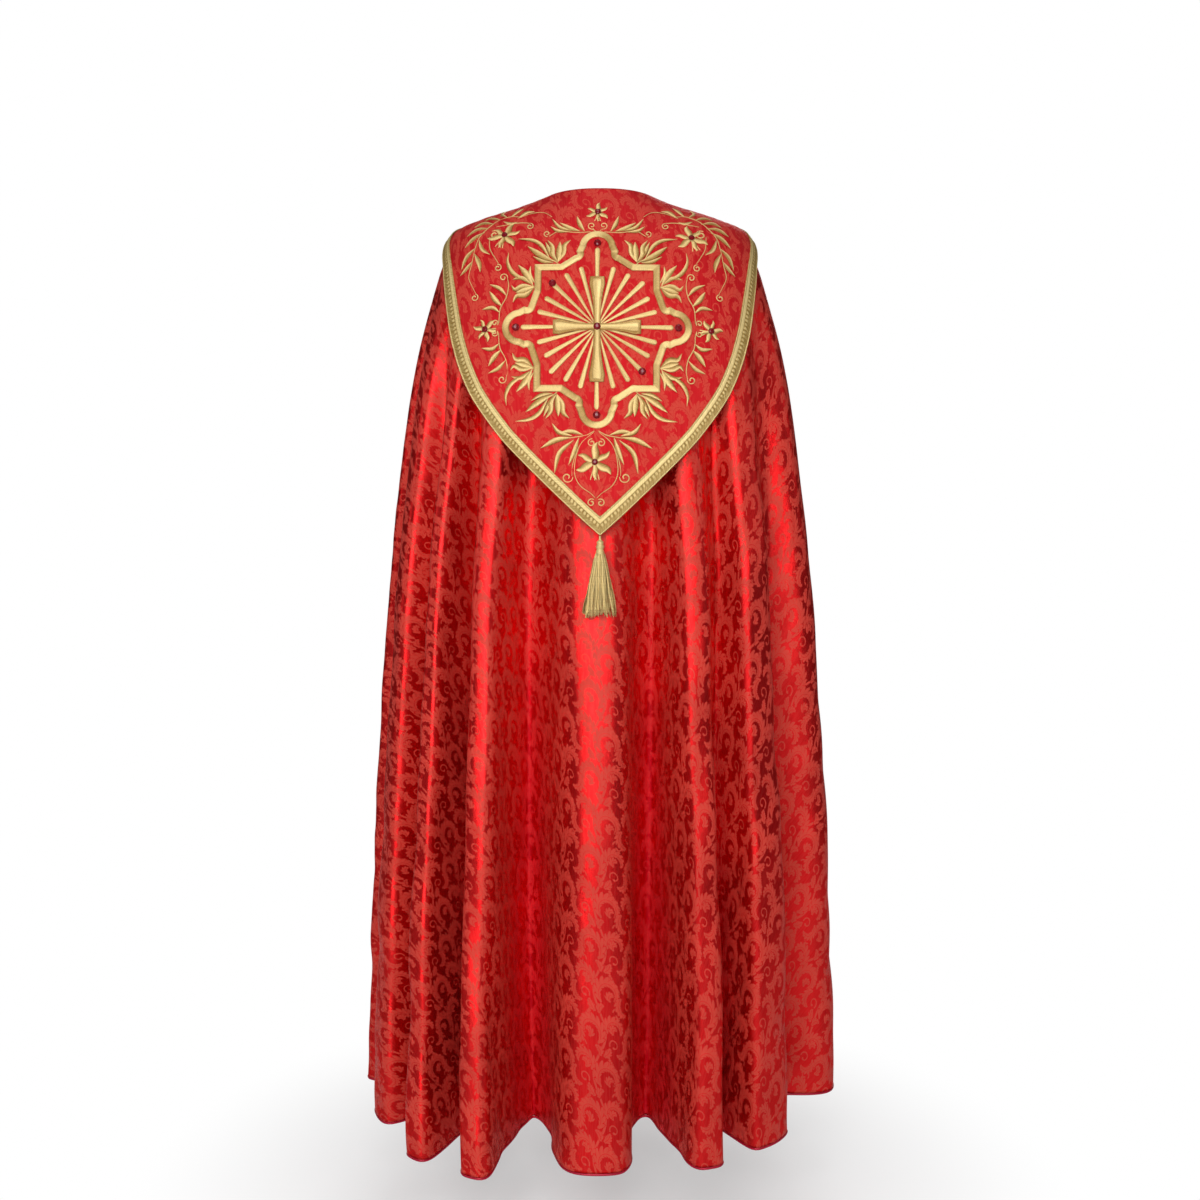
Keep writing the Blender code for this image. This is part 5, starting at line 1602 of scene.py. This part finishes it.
# %% The tassel's threads
THREADS, RINGS_EACH, THREAD_SIDES, THREAD_RADIUS = 340, 11, 3, 0.00058
LOCKS = 26  # the threads of one lock lean and wave together
SKIRT_TOP, SKIRT_LENGTH = 0.0258, 0.0900
SKIRT_WIDE, SKIRT_DEEP = 0.0240, 0.0100  # half of its size at the end
rng = np.random.default_rng(7)
lock = rng.integers(0, LOCKS, THREADS)
lock_turn = circle(LOCKS) + rng.uniform(-0.1, 0.1, LOCKS)
seed_turn = lock_turn[lock] + rng.normal(0, 0.055, THREADS)
seed_reach = HEAD_RADIUS * np.where(np.arange(THREADS) % 5 == 0,
                                    rng.uniform(0.2, 0.8, THREADS),
                                    rng.uniform(0.86, 1.0, THREADS))
down = np.linspace(0, 1, RINGS_EACH)[None, :]
length = (SKIRT_LENGTH + rng.uniform(-0.004, 0.002, THREADS)
          + rng.uniform(-0.004, 0.004, LOCKS)[lock])[:, None]
spread = down ** 0.85
x, y = seed_reach * np.cos(seed_turn), seed_reach * np.sin(seed_turn)
stray = 1 + 0.22 * (rng.uniform(0, 1, THREADS) > 0.965)
wave = rng.uniform(0, 6.28, (2, LOCKS, 1))[:, lock] + rng.normal(0, 0.25, (2, THREADS, 1))
lean = rng.normal(0, 0.0012, (2, LOCKS, 1))[:, lock] + rng.normal(0, 0.0003, (2, THREADS, 1))
paths = np.stack([
    x[:, None] * (1 + (SKIRT_WIDE / HEAD_RADIUS - 1) * spread * stray[:, None])
    + lean[0] * down ** 1.5 + 0.0009 * down * np.sin(9 * down + wave[0]),
    y[:, None] * (1 + (SKIRT_DEEP / HEAD_RADIUS - 1) * spread)
    + lean[1] * down + 0.0007 * down * np.sin(8 * down + wave[1]),
    -SKIRT_TOP - length * down], -1) + tassel_top
turn = circle(THREAD_SIDES)
ring = np.stack([np.cos(turn), np.sin(turn), 0 * turn], -1) * THREAD_RADIUS
threads = (paths[:, :, None] + ring).reshape(-1, 3)
base = len(head_points) + np.arange(len(threads)).reshape(THREADS, RINGS_EACH, THREAD_SIDES)
thread_groups = [np.concatenate([quads(wrapped(each)) for each in base]),
                 np.concatenate([base[:, 0], base[:, -1, ::-1]])]
tassel_map = np.concatenate([
    map_of(drops[:, None], np.arange(HEAD_SIDES) * 0.0010),
    map_of((HEAD_LENGTH + length * down)[..., None], np.arange(THREAD_SIDES) * 0.0004)])
lock_tone = rng.normal(0.24, 0.28, LOCKS)[lock] + rng.normal(0, 0.15, THREADS)
thread_tone = np.repeat(lock_tone, RINGS_EACH * THREAD_SIDES)
tassel = piece("tassel_threads", np.concatenate([head_points, threads]),
               head_groups + thread_groups, [woven_gold], flat_groups=(1, 2, 4),
               maps={"thread": tassel_map},
               values={"tone": np.append(np.full(len(head_points), 0.15), thread_tone)})
stands_for(tassel, "tassel")
print("tassel", THREADS, "threads,", triangles(tassel), "triangles")

# %% [markdown]
# ## The clasp
# On the chest a band of the same damask, edged with narrow braid, joins the two fronts, with
# a gilt boss in its middle. The band is a slightly padded strip on the outline, and
# the boss is a turned dish with a rosette of twelve petals.

# %% Clasp band
MORSE_HALF_ANGLE, MORSE_TOP, MORSE_BOTTOM = 27.0, 3.25, 4.15  # degrees and rows of the outline
CLASP_COLUMNS, CLASP_ROWS = 61, 33
clasp_off = WALL / 2 + PIPING_RADIUS + GAP
clasp_angle = np.radians(np.linspace(180 - MORSE_HALF_ANGLE, 180 + MORSE_HALF_ANGLE,
                                     CLASP_COLUMNS))
clasp_reach = np.interp(np.linspace(MORSE_TOP, MORSE_BOTTOM, CLASP_ROWS), BACK_ROWS, BACK_REACH)
grid_angle, grid_reach = np.meshgrid(clasp_angle, clasp_reach)
bulge = lambda count, power: np.sin(np.linspace(0, np.pi, count)) ** power
pad = bulge(CLASP_ROWS, 0.35)[:, None] * bulge(CLASP_COLUMNS, 0.25)[None, :]
outer = lifted(grid_angle, grid_reach, clasp_off + 0.0012 + 0.0020 * pad)
inner = lifted(grid_angle, grid_reach, clasp_off)
band_u, band_v = run_along(outer, axis=1), run_along(outer, axis=0)
clasp = shell("clasp_band", outer, inner, [red_damask, lining],
              maps={"cut": np.stack([band_u, -band_v], -1)})
stands_for(clasp, "morse_band")
clasp_size = (float(band_u[:, -1].mean()), float(band_v[-1].mean()))
print("clasp band", [round(v, 3) for v in clasp_size])

# %% Clasp braid
BRAID_RINGS, BRAID_SIDES, BRAID_OFF = 150, 10, 0.0036
BRAID_HALF_WIDTH, BRAID_HALF_HEIGHT = 0.0032, 0.0011
angles = np.linspace(clasp_angle[0] + 0.01, clasp_angle[-1] - 0.01, BRAID_RINGS)
turn = circle(BRAID_SIDES)
braids, braid_groups = [], []
for row in (1.6, 31.4):
    level = np.interp(row, np.arange(CLASP_ROWS), clasp_reach)
    line = lifted(angles, level, clasp_off + BRAID_OFF)
    out = unit(lifted(angles, level, clasp_off + BRAID_OFF + 0.001) - line)[:, None]
    side = unit(np.cross(unit(np.gradient(line, axis=0)), out[:, 0]))[:, None]
    rings = (line[:, None] + BRAID_HALF_WIDTH * np.cos(turn)[:, None] * side
             + BRAID_HALF_HEIGHT * np.sin(turn)[:, None] * out)
    braid_groups.append(tube_faces(BRAID_RINGS, BRAID_SIDES, sum(map(len, braids))))
    braids.append(listed(rings))
run = np.linspace(0, clasp_size[0], BRAID_RINGS)
braid_map = map_of(run[:, None], np.abs(np.arange(BRAID_SIDES) - BRAID_SIDES // 2) * 0.001)
points = np.concatenate(braids)
edging = piece("clasp_braid", points, [np.concatenate(faces) for faces in zip(*braid_groups)],
               [woven_gold], flat_groups=(1,),
               maps={"thread": np.concatenate([braid_map] * len(braids))},
               values={"tone": 0.2 + 0.3 * np.sin(np.arange(len(points)) * 0.35)})
stands_for(edging, None)
print("clasp braid", triangles(edging), "triangles")

# %% Clasp boss
gilt, tree, shader = new_finish("gilt_metal")
worn = uneven(add(tree, "ShaderNodeTexCoord").outputs["Object"], 140.0, 4.0)
feed_all(shader, {"Base Color": blend_colour(worn, (0.80, 0.55, 0.18), (0.95, 0.74, 0.36)),
                  "Roughness": ramp(worn, 0.3, 0.7, 0.18, 0.34), "Metallic": 1.0})

# radius and height, from the rim to the middle
BOSS = np.array([
    (0.0260, 0.0000), (0.0262, 0.0016), (0.0250, 0.0030), (0.0235, 0.0032), (0.0225, 0.0024),
    (0.0212, 0.0022), (0.0195, 0.0030), (0.0170, 0.0038), (0.0145, 0.0042), (0.0120, 0.0040),
    (0.0100, 0.0032), (0.0088, 0.0030), (0.0080, 0.0044), (0.0068, 0.0056), (0.0050, 0.0064),
    (0.0026, 0.0069), (0.0004, 0.0070)])
BOSS_SIDES, BOSS_OFF, PETAL_RISE = 96, 0.0030, 0.0009
middle_reach = float(np.interp((MORSE_TOP + MORSE_BOTTOM) / 2, BACK_ROWS, BACK_REACH))
seat = lifted(math.pi, middle_reach, clasp_off + BOSS_OFF)
out = unit(lifted(math.pi, middle_reach, clasp_off + BOSS_OFF + 0.001) - seat)
side = unit(np.cross((0.0, 0.0, 1.0), out))
up = np.cross(out, side)
radius, height = BOSS.T[..., None]
petals = (radius > 0.0095) & (radius < 0.0205)
turn = circle(BOSS_SIDES)
rise = height + PETAL_RISE * petals * np.abs(np.sin(6 * turn))
points = round_grid(seat, (side, up, out), radius, turn, rise)
index = numbered(*rise.shape)
boss = piece("clasp_boss", listed(points), [quads(wrapped(index), True), index[:1, ::-1],
                                            index[-1:]], [gilt], flat_groups=(1, 2))
stands_for(boss, "morse_boss")
print("clasp boss", round(2 * BOSS[:, 0].max(), 4), "m wide")

# %% [markdown]
# ## The cut
# Each panel's wedge of the cut is worked out. The cope is one half circle without the neck,
# and each panel is a wedge of it. The hood's cut size and area come from its map.

# %% Sheets
bounds = [PANELS[0][1]] + [last for _, _, last in PANELS]
hem_at = np.interp(bounds, fine_place, hem_run) / hem_run[-1]
for k, made in enumerate(panels):
    angle = (hem_at[k + 1] - hem_at[k]) * CUT_ANGLE
diagonals = lambda table: (table[:-1, 1:] - table[1:, :-1], table[:-1, :-1] - table[1:, 1:])
(u_down, u_up), (v_down, v_up) = diagonals(hood_u), diagonals(hood_v)
shield_area = float(np.abs(u_down * v_up - u_up * v_down).sum() / 2)
hood_wide = float(hood_u.max() - hood_u.min())
print("hood cut", round(hood_wide, 3), "x", HOOD_REACH, "area", round(shield_area, 3))
